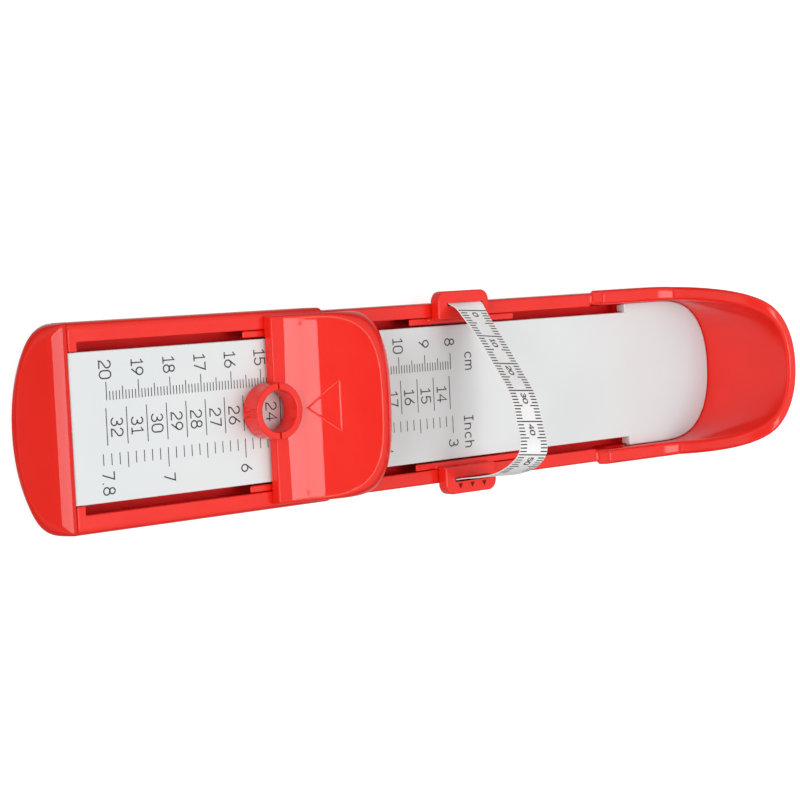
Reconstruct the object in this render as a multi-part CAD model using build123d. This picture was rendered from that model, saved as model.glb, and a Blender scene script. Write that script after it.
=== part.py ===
from build123d import *
import os
import math

os.makedirs("parts", exist_ok=True)

# ---------------------------------------------------------------------------
# Foot measuring device.  All sizes in millimetres.
# Design frame: X = 0 at the printed 20 cm line, +X towards the heel cup,
# Y = 0 on the centre line of the scale plate, Z = 0 on the face of the plate.
# Every piece is moved at the end so that the origin is the middle of the
# overall box at the level of the surface that the device stands on.
# ---------------------------------------------------------------------------

# lengths along X
X_TOE = -24.3          # tip of the toe end cap
X_SEAM = -11.1         # joint between the cap and the base frame
X_GROOVE = -8.3        # where the two guide grooves begin
X_STEP = 72.4          # rail walls are thicker up to here
X_WALL = 182.5         # low side walls of the heel cup begin
X_NOTCH = 195.0        # scale plate widens here
X_PLATE_END = 233.0    # heel end of the plate
X_HEEL = 241.9         # back of the heel cup

# half widths along Y
W_RAIL_TOE = 27.8
W_RAIL = 26.7
W_HEEL = 27.4
W_GROOVE = 22.6        # inner edge of the rails
W_PLATE = 20.0         # scale plate, narrow part
W_PLATE_HEEL = 22.8    # scale plate, wide part

# levels along Z
Z_RAIL = 0.4           # top of the rails
Z_BOTTOM = -8.4        # underside of the base frame
Z_FLOOR = -6.9         # upper face of the base floor
Z_FLANGE = -1.6        # underside of the rail flanges
Z_RIM = 32.0           # rim of the heel cup at the back
FOOT_H = 1.2           # rubber feet
PLATE_T = 1.8

# toe slider
SL_X0 = 51.8           # its toe side edge
SL_X1 = 91.0           # foot of the rounded face that meets the toes
SL_XR = 82.85          # crest line
SL_W = 26.6
SL_Z0 = 0.5            # its underside, just above the rails
SL_FLAT = 3.3          # low shelf behind the ring
SL_CREST = 13.2
RING_X = 50.9
RING_R = 7.9
RING_BORE = 5.86
RING_TOP = 7.1

# tape carrier
CA_X = 123.3           # centre of the tabs
CA_L = 19.6            # tab length
CA_W = 30.2            # half width over the tabs
CA_TOP = 3.8
SLOT_Y = 27.05         # centre of the tape slots
SLOT_W = 0.9
SLOT_L = 14.0
SLOT_LEAN = {1: 0.472, -1: 0.25}
TAPE_W = 12.8
TAPE_T = 0.3

# arms that run in the grooves
ARM_Y0 = 20.55
ARM_Y1 = 22.45
ARM_TOP = -0.1
ARM_BOT = -3.9

XC = (X_TOE + X_HEEL) / 2
ZB = -Z_BOTTOM + FOOT_H


def box(x0, x1, y0, y1, z0, z1):
    return Pos((x0 + x1) / 2, (y0 + y1) / 2, (z0 + z1) / 2) * Box(x1 - x0, y1 - y0, z1 - z0)


def cyl(x, y, z0, z1, r):
    return Pos(x, y, (z0 + z1) / 2) * Cylinder(r, z1 - z0)


def prism_xz(pts, y0, y1):
    """Closed outline in X-Z, extruded from y0 to y1."""
    w = Wire([Edge.make_line((a[0], y0, a[1]), (b[0], y0, b[1]))
              for a, b in zip(pts, pts[1:] + pts[:1])])
    return extrude(Face(w), amount=y1 - y0, dir=(0, 1, 0))


def prism_yz(pts, x0, x1):
    w = Wire([Edge.make_line((x0, a[0], a[1]), (x0, b[0], b[1]))
              for a, b in zip(pts, pts[1:] + pts[:1])])
    return extrude(Face(w), amount=x1 - x0, dir=(1, 0, 0))


def prism_xy(pts, z0, z1):
    w = Wire([Edge.make_line((a[0], a[1], z0), (b[0], b[1], z0))
              for a, b in zip(pts, pts[1:] + pts[:1])])
    return extrude(Face(w), amount=z1 - z0, dir=(0, 0, 1))


def d_wire(x0, xs, w, xb, a, b, z):
    """D-shaped outline: straight across at x0, straight sides to xs and a
    round end at xb."""
    e = [
        Edge.make_line((x0, -w, z), (x0, w, z)),
        Edge.make_line((x0, w, z), (xs, w, z)),
        Edge.make_bezier((xs, w, z), (xs + a * (xb - xs), w, z), (xb, b * w, z), (xb, 0, z)),
        Edge.make_bezier((xb, 0, z), (xb, -b * w, z), (xs + a * (xb - xs), -w, z), (xs, -w, z)),
        Edge.make_line((xs, -w, z), (x0, -w, z)),
    ]
    return Wire(e)


def d_prism(x0, xs, w, xb, a, b, z0, z1):
    return extrude(Face(d_wire(x0, xs, w, xb, a, b, z0)), amount=z1 - z0, dir=(0, 0, 1))


def s_wire(x0, xs, w, xb, p, q, z):
    """Outline like d_wire whose round end is a quarter of a superellipse on
    each side: (dx / length) ** p + (y / w) ** q = 1."""
    pts = []
    for deg in (0, 2, 6, 12, 20, 30, 40, 50, 60, 70, 80, 90):
        t = math.radians(deg)
        pts.append((xs + (xb - xs) * math.sin(t) ** (2 / p), w * max(math.cos(t), 0.0) ** (2 / q) if deg < 90 else 0.0))
    up = [Vector(x, y, z) for x, y in pts]
    dn = [Vector(x, -y, z) for x, y in reversed(pts)]
    return Wire([
        Edge.make_line((x0, -w, z), (x0, w, z)),
        Edge.make_line((x0, w, z), (xs, w, z)),
        Edge.make_spline(up, tangents=[(1, 0, 0), (0, -1, 0)]),
        Edge.make_spline(dn, tangents=[(0, -1, 0), (-1, 0, 0)]),
        Edge.make_line((xs, -w, z), (x0, -w, z)),
    ])


def s_prism(x0, xs, w, xb, p, q, z0, z1):
    return extrude(Face(s_wire(x0, xs, w, xb, p, q, z0)), amount=z1 - z0, dir=(0, 0, 1))


def safe_fillet(s, edges, radii, label):
    for r in radii:
        try:
            out = fillet(edges, r)
            if out.is_valid and out.volume > 0:
                return out
        except Exception:
            pass
    print("no fillet on", label)
    return s


def one(s):
    """Largest solid of a shape."""
    ss = s.solids()
    return max(ss, key=lambda q: q.volume)


def edges_at(s, f):
    return [e for e in s.edges() if f(e)]


# ---------------------------------------------------------------------------
# base frame: two hooked rails, floor and heel cup, one moulding
# ---------------------------------------------------------------------------
toe_len = box(X_SEAM, X_STEP, -W_RAIL_TOE, W_RAIL_TOE, Z_BOTTOM, Z_RAIL)
toe_len = safe_fillet(toe_len, edges_at(toe_len, lambda e: abs(e.center().Z - Z_RAIL) < 0.01 and abs(e.center().Y) > 20), [2.0], "toe rails top")
toe_len = safe_fillet(toe_len, edges_at(toe_len, lambda e: abs(e.center().Z - Z_BOTTOM) < 0.01 and abs(e.center().Y) > 20), [1.0], "toe rails bottom")
toe_len = safe_fillet(toe_len, edges_at(toe_len, lambda e: abs(e.center().X - X_STEP) < 0.01 and abs(abs(e.center().Y) - W_RAIL_TOE) < 0.01 and abs(e.center().Z + 4) < 3), [0.8], "rail step")
mid_len = box(X_STEP - 2, X_WALL + 3, -W_RAIL, W_RAIL, Z_BOTTOM, Z_RAIL)
mid_len = safe_fillet(mid_len, edges_at(mid_len, lambda e: abs(e.center().Z - Z_RAIL) < 0.01 and abs(e.center().Y) > 20), [0.9], "mid rails top")
mid_len = safe_fillet(mid_len, edges_at(mid_len, lambda e: abs(e.center().Z - Z_BOTTOM) < 0.01 and abs(e.center().Y) > 20), [1.0], "mid rails bottom")

heel_outer = Solid.make_loft([
    s_wire(X_WALL, 199.2, W_HEEL - 0.45, 239.6, 3.0, 3.6, Z_BOTTOM),
    s_wire(X_WALL, 198.4, W_HEEL, 241.45, 2.95, 3.4, 4.0),
    s_wire(X_WALL, 198.4, 26.0, 240.5, 2.56, 2.1, Z_RIM),
], ruled=False)
heel_inner = Solid.make_loft([
    s_wire(X_WALL - 3, 209.1, 22.95, 233.2, 3.0, 2.24, -PLATE_T),
    s_wire(X_WALL - 3, 207.6, 22.98, 233.8, 2.95, 2.25, 4.0),
    s_wire(X_WALL - 3, 200.2, 23.1, 237.0, 2.72, 2.3, Z_RIM + 2),
], ruled=False)
spl = Edge.make_spline([Vector(x, -45, z) for x, z in
                        [(205, 3.9), (209, 4.6), (212, 6.6), (215, 10.6), (218.5, 16.8), (222, 22.6),
                         (226, 27.4), (230, 30.0), (235, 31.4), (243, 32.0)]],
                       tangents=[(1, 0, 0.05), (1, 0, 0.05)])
cut_wire = Wire([
    Edge.make_line((X_WALL - 5, -45, 3.6), (205, -45, 3.9)),
    spl,
    Edge.make_line((243, -45, 32.0), (260, -45, 33)),
    Edge.make_line((260, -45, 33), (260, -45, 60)),
    Edge.make_line((260, -45, 60), (X_WALL - 5, -45, 60)),
    Edge.make_line((X_WALL - 5, -45, 60), (X_WALL - 5, -45, 3.6)),
])
above_rim = extrude(Face(cut_wire), amount=90, dir=(0, 1, 0))
heel = heel_outer - above_rim
heel = one(heel - heel_inner)
print("heel", heel.is_valid, round(heel.volume, 1))

base = one(toe_len + mid_len)
# concave foot of the wall nose, where it rises from the rail
for s in (1, -1):
    f = prism_xz([(X_WALL - 1.6, Z_RAIL - 0.2), (X_WALL + 0.2, Z_RAIL - 0.2), (X_WALL + 0.2, Z_RAIL + 1.9),
                  (X_WALL - 0.25, Z_RAIL + 0.9), (X_WALL - 0.8, Z_RAIL + 0.3)],
                 23.05 if s > 0 else -W_RAIL + 0.3, W_RAIL - 0.3 if s > 0 else -23.05)
    base = base + f
base = one(base + one(heel))

# channel for the runners and bridges, and the slot between the rails
base = base - box(X_GROOVE, X_WALL + 3.0, -W_RAIL + 1.3, W_RAIL - 1.3, Z_FLOOR, Z_FLANGE)
base = base - box(X_GROOVE, X_WALL + 3.0, -W_GROOVE, W_GROOVE, Z_FLANGE - 0.5, 8)
base = base - box(X_WALL - 4, X_NOTCH - 0.6, -W_GROOVE, W_GROOVE, Z_FLOOR, 12)
# the two grooves run on a little for the turned-down ears of the plate
for s in (1, -1):
    ya, yb = sorted((s * (W_PLATE + 0.1), s * W_GROOVE))
    base = base - box(X_NOTCH - 1, X_NOTCH + 1.8, ya, yb, Z_FLOOR, 0)
# seat of the plate at the toe end; at the heel it rests on the cup floor
base = base - box(X_SEAM - 1, X_GROOVE + 1, -W_PLATE - 0.15, W_PLATE + 0.15, -PLATE_T, 3)
# the floor under the plate keeps four posts for the screws and two long ribs
BOSS = [(-2.0, 12.0), (-2.0, -12.0), (198.0, 14.0), (198.0, -14.0), (220.0, 0.0)]
# recessed panel on the underside and hollow ribbed heel
under = box(2.0, 176.0, -21.5, 21.5, Z_BOTTOM - 1, Z_BOTTOM + 0.5)
under = safe_fillet(under, edges_at(under, lambda e: abs(e.center().Z - (Z_BOTTOM - 0.25)) < 0.01), [4.0], "panel corners")
base = base - under
pocket = d_prism(204.0, 206, 21.5, 229.5, 0.7, 0.8, Z_BOTTOM - 1, -4.2)
ribs = box(211.4, 212.6, -24, 24, -8.4, -4.2) + box(202, 232, -0.6, 0.6, -8.4, -4.2) + box(221.4, 222.6, -24, 24, -8.4, -4.2)
ribs = ribs + cyl(220.0, 0.0, -8.4, -4.2, 3.2)
base = base - (pocket - ribs)
pocket2 = box(195.8, 201.0, -18.6, 18.6, Z_BOTTOM - 1, -4.2)
keep2 = box(195, 202, -0.6, 0.6, -8.4, -4.2) + cyl(198.0, 14.0, -8.4, -4.2, 3.2) + cyl(198.0, -14.0, -8.4, -4.2, 3.2)
base = base - (pocket2 - keep2)
# screw holes with countersunk heads, from below
for bx, by in BOSS:
    if bx > 0:
        base = base - cyl(bx, by, Z_BOTTOM - 1, 1, 1.05)
        base = base - cyl(bx, by, Z_BOTTOM - 1, -6.0, 2.1)
# pads that carry the feet are plain places on the floor
base = one(base)

# cap screws pass through the frame's toe wall floor
CAP_SCREWS = [(-9.0, 16.0), (-9.0, -16.0)]

# ---------------------------------------------------------------------------
# toe end cap: closes the channel after the slider and the carrier are on
# ---------------------------------------------------------------------------
cap_w = Wire([
    Edge.make_line((X_SEAM - 0.05, -40, Z_BOTTOM), (X_SEAM - 0.05, -40, Z_RAIL)),
    Edge.make_line((X_SEAM - 0.05, -40, Z_RAIL), (-12.8, -40, Z_RAIL)),
    Edge.make_line((-12.8, -40, Z_RAIL), (-16.2, -40, -0.57)),
    Edge.make_line((-16.2, -40, -0.57), (-22.5, -40, -4.98)),
    Edge.make_line((-22.5, -40, -4.98), (-24.3, -40, -7.2)),
    Edge.make_line((-24.3, -40, -7.2), (-23.4, -40, Z_BOTTOM)),
    Edge.make_line((-23.4, -40, Z_BOTTOM), (X_SEAM - 0.05, -40, Z_BOTTOM)),
])
cap = extrude(Face(cap_w), amount=80, dir=(0, 1, 0))
cap_plan = Wire([
    Edge.make_line((X_SEAM - 0.05, -27.6, -20), (X_SEAM - 0.05, 27.6, -20)),
    Edge.make_line((X_SEAM - 0.05, 27.6, -20), (-12.5, 27.6, -20)),
    Edge.make_bezier((-12.5, 27.6, -20), (-18.6, 27.6, -20), (-24.4, 19.5, -20), (-24.4, 0, -20)),
    Edge.make_bezier((-24.4, 0, -20), (-24.4, -19.5, -20), (-18.6, -27.6, -20), (-12.5, -27.6, -20)),
    Edge.make_line((-12.5, -27.6, -20), (X_SEAM - 0.05, -27.6, -20)),
])
cap = one(cap & extrude(Face(cap_plan), amount=30, dir=(0, 0, 1)))
cap = one(safe_fillet(cap, edges_at(cap, lambda e: e.center().Z > -8.0 and e.center().X < X_SEAM - 1.0 and abs(e.center().Y) > 4), [1.6, 1.2, 0.9, 0.6], "cap outline"))
# hollow from below, with a tongue that lies on the frame's floor
cap_hollow = Wire([
    Edge.make_line((-13.0, -24.5, -20), (-13.0, 24.5, -20)),
    Edge.make_bezier((-13.0, 24.5, -20), (-17.5, 24.0, -20), (-21.6, 17.5, -20), (-21.6, 0, -20)),
    Edge.make_bezier((-21.6, 0, -20), (-21.6, -17.5, -20), (-17.5, -24.0, -20), (-13.0, -24.5, -20)),
])
hollow = extrude(Face(cap_hollow), amount=30, dir=(0, 0, 1)) & prism_xz(
    [(-26, -12), (-12, -12), (-12, -2.4), (-14.6, -2.4), (-17.0, -3.6), (-20.5, -5.8), (-22.0, -7.0), (-26, -7.6)], -30, 30)
hollow = hollow - box(-26, -12, -0.6, 0.6, -12, 0) - box(-26, -12, 11.4, 12.6, -12, 0) - box(-26, -12, -12.6, -11.4, -12, 0)
cap = one(cap - hollow)
print("cap", cap.is_valid, round(cap.volume, 1))
# tongues: two keys that plug into matching pockets of the frame
for y0, y1 in ((13.0, 19.0), (-19.0, -13.0)):
    base = base - box(X_SEAM - 1, X_GROOVE + 0.5, y0 - 0.1, y1 + 0.1, -6.4, -2.9)
    cap = cap + box(X_SEAM - 3.0, X_GROOVE + 1.7, y0, y1, -6.3, -3.0)
cap = one(cap)
base = one(base)
for bx, by in CAP_SCREWS:
    base = base - cyl(bx, by, Z_BOTTOM - 1, -6.3, 0.95)
    base = base - cyl(bx, by, Z_BOTTOM - 1, -7.1, 1.75)
    cap = cap - cyl(bx, by, -7.0, -3.6, 0.75)
base = one(base)
cap = one(cap)

# ---------------------------------------------------------------------------
# scale plate
# ---------------------------------------------------------------------------
plate = box(X_SEAM + 0.05, X_NOTCH + 1, -W_PLATE, W_PLATE, -PLATE_T, 0.0)
wide = s_prism(X_NOTCH, 209.1, W_PLATE_HEEL, X_PLATE_END, 3.0, 2.24, -PLATE_T, 0.0)
plate = one(plate + wide)
# the front edges of the wide part are turned down into the two grooves
for s in (1, -1):
    ya, yb = sorted((s * (W_PLATE + 0.25), s * (W_GROOVE - 0.15)))
    plate = plate + box(X_NOTCH, X_NOTCH + 1.6, ya, yb, -3.4, -PLATE_T + 0.2)
plate = one(plate)
# stiffening ribs and screw bosses below
for y in (-9.0, 9.0):
    plate = plate + box(2.0, 186.0, y - 0.6, y + 0.6, -4.7, -PLATE_T + 0.1)
for bx, by in BOSS:
    if bx > 0:
        plate = plate - cyl(bx, by, -PLATE_T - 1, -0.6, 0.8)
plate = one(plate)
print("plate", plate.is_valid, round(plate.volume, 1))

# ---------------------------------------------------------------------------
# screws and feet
# ---------------------------------------------------------------------------
def screw(x, y, z_head, z_tip, r, rh):
    s = cyl(x, y, z_head, z_tip, r) + cyl(x, y, z_head, z_head + 1.2, rh)
    s = s - box(x - rh, x + rh, y - 0.25, y + 0.25, z_head - 0.1, z_head + 0.5)
    s = s - box(x - 0.25, x + 0.25, y - rh, y + rh, z_head - 0.1, z_head + 0.5)
    return one(s)


plate_screws = [screw(bx, by, -7.2, -0.7, 0.8, 1.9) for bx, by in BOSS if bx > 0]
cap_screws = [screw(bx, by, -8.3, -3.7, 0.75, 1.6) for bx, by in CAP_SCREWS]
FEET = {"foot_toe_left": (8.0, 23.3), "foot_toe_right": (8.0, -23.3), "foot_heel_left": (182.0, 20.0), "foot_heel_right": (182.0, -20.0)}


def foot(x, y):
    f = cyl(x, y, Z_BOTTOM - FOOT_H, Z_BOTTOM, 2.6 if abs(y) > 22 else 4.0)
    return fillet(f.edges().group_by(Axis.Z)[0], 0.4)


# ---------------------------------------------------------------------------
# toe slider: shell, two runners and the bridge under the plate
# ---------------------------------------------------------------------------
def sl_top(dz=0.0, ex=0.02):
    """Outline in X-Z of the slider's top and rounded face, closed below."""
    return Wire([
        Edge.make_line((SL_X0 - 1, -40, -5), (SL_X0 - 1, -40, SL_FLAT + dz)),
        Edge.make_line((SL_X0 - 1, -40, SL_FLAT + dz), (56.3, -40, SL_FLAT + dz)),
        Edge.make_spline([Vector(56.3, -40, SL_FLAT + dz), Vector(58.0, -40, SL_FLAT + 0.45 + dz), Vector(64.0, -40, 5.45 + dz),
                          Vector(71.0, -40, 7.95 + dz), Vector(78.0, -40, 10.7 + dz), Vector(SL_XR, -40, 13.0 + dz)],
                         tangents=[(1, 0, 0.08), (1, 0, 0.55)]),
        Edge.make_bezier((SL_XR, -40, 13.0 + dz), (87.2, -40, 13.1 + dz), (SL_X1 + ex, -40, 8.6 + dz), (SL_X1 + ex, -40, 3.0 + dz)),
        Edge.make_line((SL_X1 + ex, -40, 3.0 + dz), (SL_X1 + ex, -40, -5)),
        Edge.make_line((SL_X1 + ex, -40, -5), (SL_X0 - 1, -40, -5)),
    ])


sl_body = extrude(Face(sl_top()), amount=80, dir=(0, 1, 0))
sl_plan0 = s_wire(SL_X0 - 0.15, 73.8, SL_W, SL_X1, 4.5, 3.1, SL_Z0)
sl_plan1 = s_wire(SL_X0 + 0.45, 66.0, 25.6, SL_X1 - 0.6, 3.2, 2.9, 16.0)
sl_env = Solid.make_loft([sl_plan0, sl_plan1], ruled=True)
shell = one(sl_body & sl_env)
shell = one(safe_fillet(shell, edges_at(shell, lambda e: abs(e.center().Y) > 23 and e.center().Z > 2.6 and e.length > 4),
                        [1.2, 0.8, 0.5], "slider flanks"))

# hollow underside, 1.8 mm wall
sl_in = extrude(Face(sl_top(-1.8)), amount=80, dir=(0, 1, 0)) & Solid.make_loft([
    s_wire(SL_X0 + 1.8, 72.0, SL_W - 1.9, SL_X1 - 1.9, 4.2, 3.0, SL_Z0 - 1),
    s_wire(SL_X0 + 2.3, 66.0, 23.6, SL_X1 - 2.6, 3.2, 2.9, 16.0)], ruled=True)
# the shell's underside keeps the strip over each groove for the tongues
shell = one(shell - sl_in)
# raised arrow on the ramp, pointing to the reading ring
tri = prism_xy([(61.6, 0.0), (71.5, 7.4), (71.5, -7.4)], 2, 15)
arrow = tri & (extrude(Face(sl_top(0.22)), amount=80, dir=(0, 1, 0)) - extrude(Face(sl_top(-0.6)), amount=80, dir=(0, 1, 0)))
shell = one(shell + one(arrow))
# reading ring with two fine index slits
shell = shell + cyl(RING_X, 0, SL_Z0, RING_TOP, RING_R)
shell = one(shell - cyl(RING_X, 0, SL_Z0 - 1, RING_TOP + 10, RING_BORE))
for sgn in (1, -1):
    y0, y1 = sorted((sgn * (RING_BORE - 0.5), sgn * (RING_R + 0.5)))
    shell = shell - box(RING_X - 0.3, RING_X + 0.3, y0, y1, SL_FLAT + 0.2, RING_TOP + 1)
# tongues that reach down through the grooves into the runners
TONGUES = [(57.0, 62.0), (78.0, 82.5)]
TONGUE_TOP = [2.6, 9.4]
for (x0, x1), zt in zip(TONGUES, TONGUE_TOP):
    for y0, y1 in ((ARM_Y0 + 0.1, ARM_Y1 - 0.1), (-ARM_Y1 + 0.1, -ARM_Y0 - 0.1)):
        shell = shell + box(x0, x1, y0, y1, -2.4, zt)
shell = one(shell)
print("shell", shell.is_valid, round(shell.volume, 1))


def runner(x0, x1, sgn, hook, notch, top_pad):
    """Bar in the groove with a hook below the rail flange."""
    def b(xa, xb, ya, yb, za, zb):
        lo, hi = sorted((sgn * ya, sgn * yb))
        return box(xa, xb, lo, hi, za, zb)
    r = b(x0, x1, ARM_Y0, ARM_Y1, ARM_BOT, ARM_TOP)
    r = r + b(hook[0], hook[1], ARM_Y1 - 0.2, 24.6, ARM_BOT, Z_FLANGE - 0.15)
    for xa, xb in top_pad:
        r = r + b(xa, xb, ARM_Y0, ARM_Y1, ARM_TOP - 0.2, SL_Z0)
    for xa, xb in notch:
        r = r - b(xa, xb, ARM_Y0 - 1, ARM_Y1 - 0.05, -2.4, 3)
    # leg down to the bridge
    r = r + b(hook[0] + 2.0, hook[1] - 2.0, ARM_Y0, 24.6, -5.3, ARM_BOT + 0.1)
    return one(r)


slider_runner_left = runner(44.4, 88.0, 1, (55.0, 86.0), TONGUES, [(62.5, 77.5)])
slider_runner_right = runner(44.4, 88.0, -1, (55.0, 86.0), TONGUES, [(62.5, 77.5)])
slider_bridge = box(59.0, 82.0, -24.6, 24.6, -6.6, -5.3)
BR_S = [(64.0, 22.6), (77.0, 22.6), (64.0, -22.6), (77.0, -22.6)]
slider_bridge = safe_fillet(slider_bridge, slider_bridge.edges().filter_by(Axis.Z), [2.0], "bridge")


def bridge_screws(pts):
    return [cyl(x, y, -6.6, -6.0, 1.25) + cyl(x, y, -6.1, -3.2, 0.6) for x, y in pts]


def drill(part, pts, r, z0, z1):
    for x, y in pts:
        part = part - cyl(x, y, z0, z1, r)
    return one(part)


slider_screws = bridge_screws(BR_S)
slider_bridge = drill(slider_bridge, BR_S, 0.6, -8, -4)
slider_bridge = drill(slider_bridge, BR_S, 1.25, -8, -6.0)
slider_runner_left = drill(slider_runner_left, BR_S[:2], 0.6, -6, -3.2)
slider_runner_right = drill(slider_runner_right, BR_S[2:], 0.6, -6, -3.2)

# ---------------------------------------------------------------------------
# tape carrier: two lugs over the rails, joined by a bridge under the plate
# ---------------------------------------------------------------------------
CX0, CX1 = CA_X - CA_L / 2, CA_X + CA_L / 2


def lug(sgn):
    prof = [(ARM_Y1, SL_Z0), (ARM_Y1, CA_TOP), (CA_W, CA_TOP), (CA_W, SL_Z0)]
    # flat block over the rail with an ear that overhangs it
    body = prism_yz([(sgn * y, z) for y, z in prof], CX0, CX1)
    corner = [e for e in body.edges() if abs(abs(e.center().Y) - CA_W) < 0.01 and abs(e.center().Z - (CA_TOP + SL_Z0) / 2) < 0.2]
    body = safe_fillet(body, corner, [3.2, 2.5], "lug corners")
    top = [e for e in body.edges() if e.center().Z > CA_TOP - 0.05 and e.length > 2 and abs(e.center().Y) > 23.5]
    body = safe_fillet(body, top, [0.5, 0.3], "lug top")
    def b(xa, xb, ya, yb, za, zb):
        lo, hi = sorted((sgn * ya, sgn * yb))
        return box(xa, xb, lo, hi, za, zb)
    arm = b(104.2, 146.6, ARM_Y0, ARM_Y1, ARM_BOT, ARM_TOP)
    arm = arm + b(CX0, CX1, ARM_Y0 + 1.0, ARM_Y1, ARM_TOP - 0.2, SL_Z0 + 0.1)
    arm = arm + b(CX0 + 1, CX1 - 1, ARM_Y1 - 0.2, 24.6, ARM_BOT, Z_FLANGE - 0.15)
    arm = arm + b(CX0 + 2, CX1 - 2, ARM_Y0, 24.6, -5.3, ARM_BOT + 0.1)
    body = body + arm
    # the slot leans towards the foot where the tape leaves it
    lean = SLOT_LEAN[sgn]
    h = SLOT_W / 2
    sl = [(SLOT_Y - h, -1), (SLOT_Y + h, -1), (SLOT_Y + h, 2.0), (SLOT_Y + h - 4 * lean, 6.0), (SLOT_Y - h - 4 * lean, 6.0), (SLOT_Y - h, 2.0)]
    body = body - prism_yz([(sgn * y, z) for y, z in sl], CA_X - SLOT_L / 2 + 0.4, CA_X + SLOT_L / 2 + 0.4)
    return one(body)


carrier_left = lug(1)
carrier_right = lug(-1)
# three small engraved pointers at the reading slot
for dx in (-5.0, 0.0, 5.0):
    x = CA_X - 0.2 + dx
    carrier_right = carrier_right - prism_xy([(x - 0.75, -28.1), (x + 0.75, -28.1), (x, -29.4)], CA_TOP - 0.25, CA_TOP + 1)
carrier_right = one(carrier_right)
carrier_bridge = box(CX0 + 2.0, CX1 - 2.0, -24.6, 24.6, -6.6, -5.3)
carrier_bridge = safe_fillet(carrier_bridge, carrier_bridge.edges().filter_by(Axis.Z), [2.0], "bridge")
CA_S = [(118.5, 22.6), (128.1, 22.6), (118.5, -22.6), (128.1, -22.6)]
carrier_screws = bridge_screws(CA_S)
carrier_bridge = drill(carrier_bridge, CA_S, 0.6, -8, -4)
carrier_bridge = drill(carrier_bridge, CA_S, 1.25, -8, -6.0)
carrier_left = drill(carrier_left, CA_S[:2], 0.6, -6, -3.2)
carrier_right = drill(carrier_right, CA_S[2:], 0.6, -6, -3.2)

# ---------------------------------------------------------------------------
# measuring tape: loop over the plate, held at the left lug, free end through
# the right lug and flat under the base
# ---------------------------------------------------------------------------
TX = CA_X + 0.4


def tape_solid(path_pts, x0, x1, radii):
    """Thin strip along a path of straight runs and arcs in Y-Z."""
    path = FilletPolyline(*[(0, y, z) for y, z in path_pts], radius=radii)
    w = path if isinstance(path, Wire) else path.wire()
    pl = Plane(origin=w @ 0, x_dir=(1, 0, 0), z_dir=w % 0)
    prof = pl * Rectangle(x1 - x0, TAPE_T)
    t = sweep(prof, path=w)
    return Pos((x0 + x1) / 2, 0, 0) * one(t)


LOOP = [(SLOT_Y, 2.0), (25.9, 4.43), (0.4, 23.9), (-15.0, 31.4), (-22.4, 24.6), (-25.9, 8.6), (-SLOT_Y, 2.0)]
LOOP_R = [3.0, 40.0, 6.0, 14.0, 12.0]
tape_loop = tape_solid(LOOP, TX - TAPE_W / 2, TX + TAPE_W / 2, LOOP_R)
# fixed run: from the right slot down beside the rail and back under the base
TURN = [(-SLOT_Y, 2.0), (-SLOT_Y, -8.7), (-2.0, -8.7)]
tape_turn = tape_solid(TURN, TX - TAPE_W / 2, TX + TAPE_W / 2, [0.6])
# free end that is pulled out sideways from under the base
tape_tail = box(TX - TAPE_W / 2, TX + TAPE_W / 2, -24.5, 21.2, -9.2, -9.2 + TAPE_T)
tape_end_stop = box(TX - TAPE_W / 2 - 0.4, TX + TAPE_W / 2 + 0.4, 21.2, 23.2, -9.45, -8.6)
tape_end_stop = safe_fillet(tape_end_stop, tape_end_stop.edges().filter_by(Axis.Z), [0.5], "end stop")
# clip that holds the fixed end in the left slot
tape_anchor = box(TX - TAPE_W / 2 - 0.2, TX + TAPE_W / 2 + 0.2, SLOT_Y - 0.25, SLOT_Y + 0.25, -2.0, 2.0)
tape_anchor = tape_anchor + box(TX - TAPE_W / 2 - 0.2, TX + TAPE_W / 2 + 0.2, SLOT_Y - 0.25, SLOT_Y + 1.8, -2.0, SL_Z0)
tape_anchor = one(tape_anchor)
print("tape", tape_loop.is_valid, round(tape_loop.volume, 2), tape_tail.is_valid, round(tape_tail.volume, 2))

# ---------------------------------------------------------------------------
# write every piece in the part's own frame
# ---------------------------------------------------------------------------
NODES = {
    "base_frame": base,
    "toe_end_cap": cap,
    "scale_plate": plate,
    "plate_screws": plate_screws,
    "cap_screws": cap_screws,
    "slider_shell": shell,
    "slider_runner_left": slider_runner_left,
    "slider_runner_right": slider_runner_right,
    "slider_bridge": slider_bridge,
    "slider_screws": slider_screws,
    "carrier_lug_left": carrier_left,
    "carrier_lug_right": carrier_right,
    "carrier_bridge": carrier_bridge,
    "carrier_screws": carrier_screws,
    "tape_anchor": tape_anchor,
    "tape_loop": tape_loop,
    "tape_turn": tape_turn,
    "tape_tail": tape_tail,
    "tape_end_stop": tape_end_stop,
}
for name, (fx, fy) in FEET.items():
    NODES[name] = foot(fx, fy)

lo = [1e9] * 3
hi = [-1e9] * 3
for name, shape in NODES.items():
    solids = shape if isinstance(shape, list) else [shape]
    solids = [one(q).moved(Location((-XC, 0, ZB))) for q in solids]
    out = solids[0] if len(solids) == 1 else Compound(children=solids)
    export_step(out, "parts/%s.step" % name)
    for q in solids:
        bb = q.bounding_box()
        for k, (a, b) in enumerate(zip((bb.min.X, bb.min.Y, bb.min.Z), (bb.max.X, bb.max.Y, bb.max.Z))):
            lo[k] = min(lo[k], a)
            hi[k] = max(hi[k], b)
print("box", [round(v, 2) for v in lo], [round(v, 2) for v in hi])
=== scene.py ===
import math

import bpy
import numpy as np
from mathutils import Matrix, Vector


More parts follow.
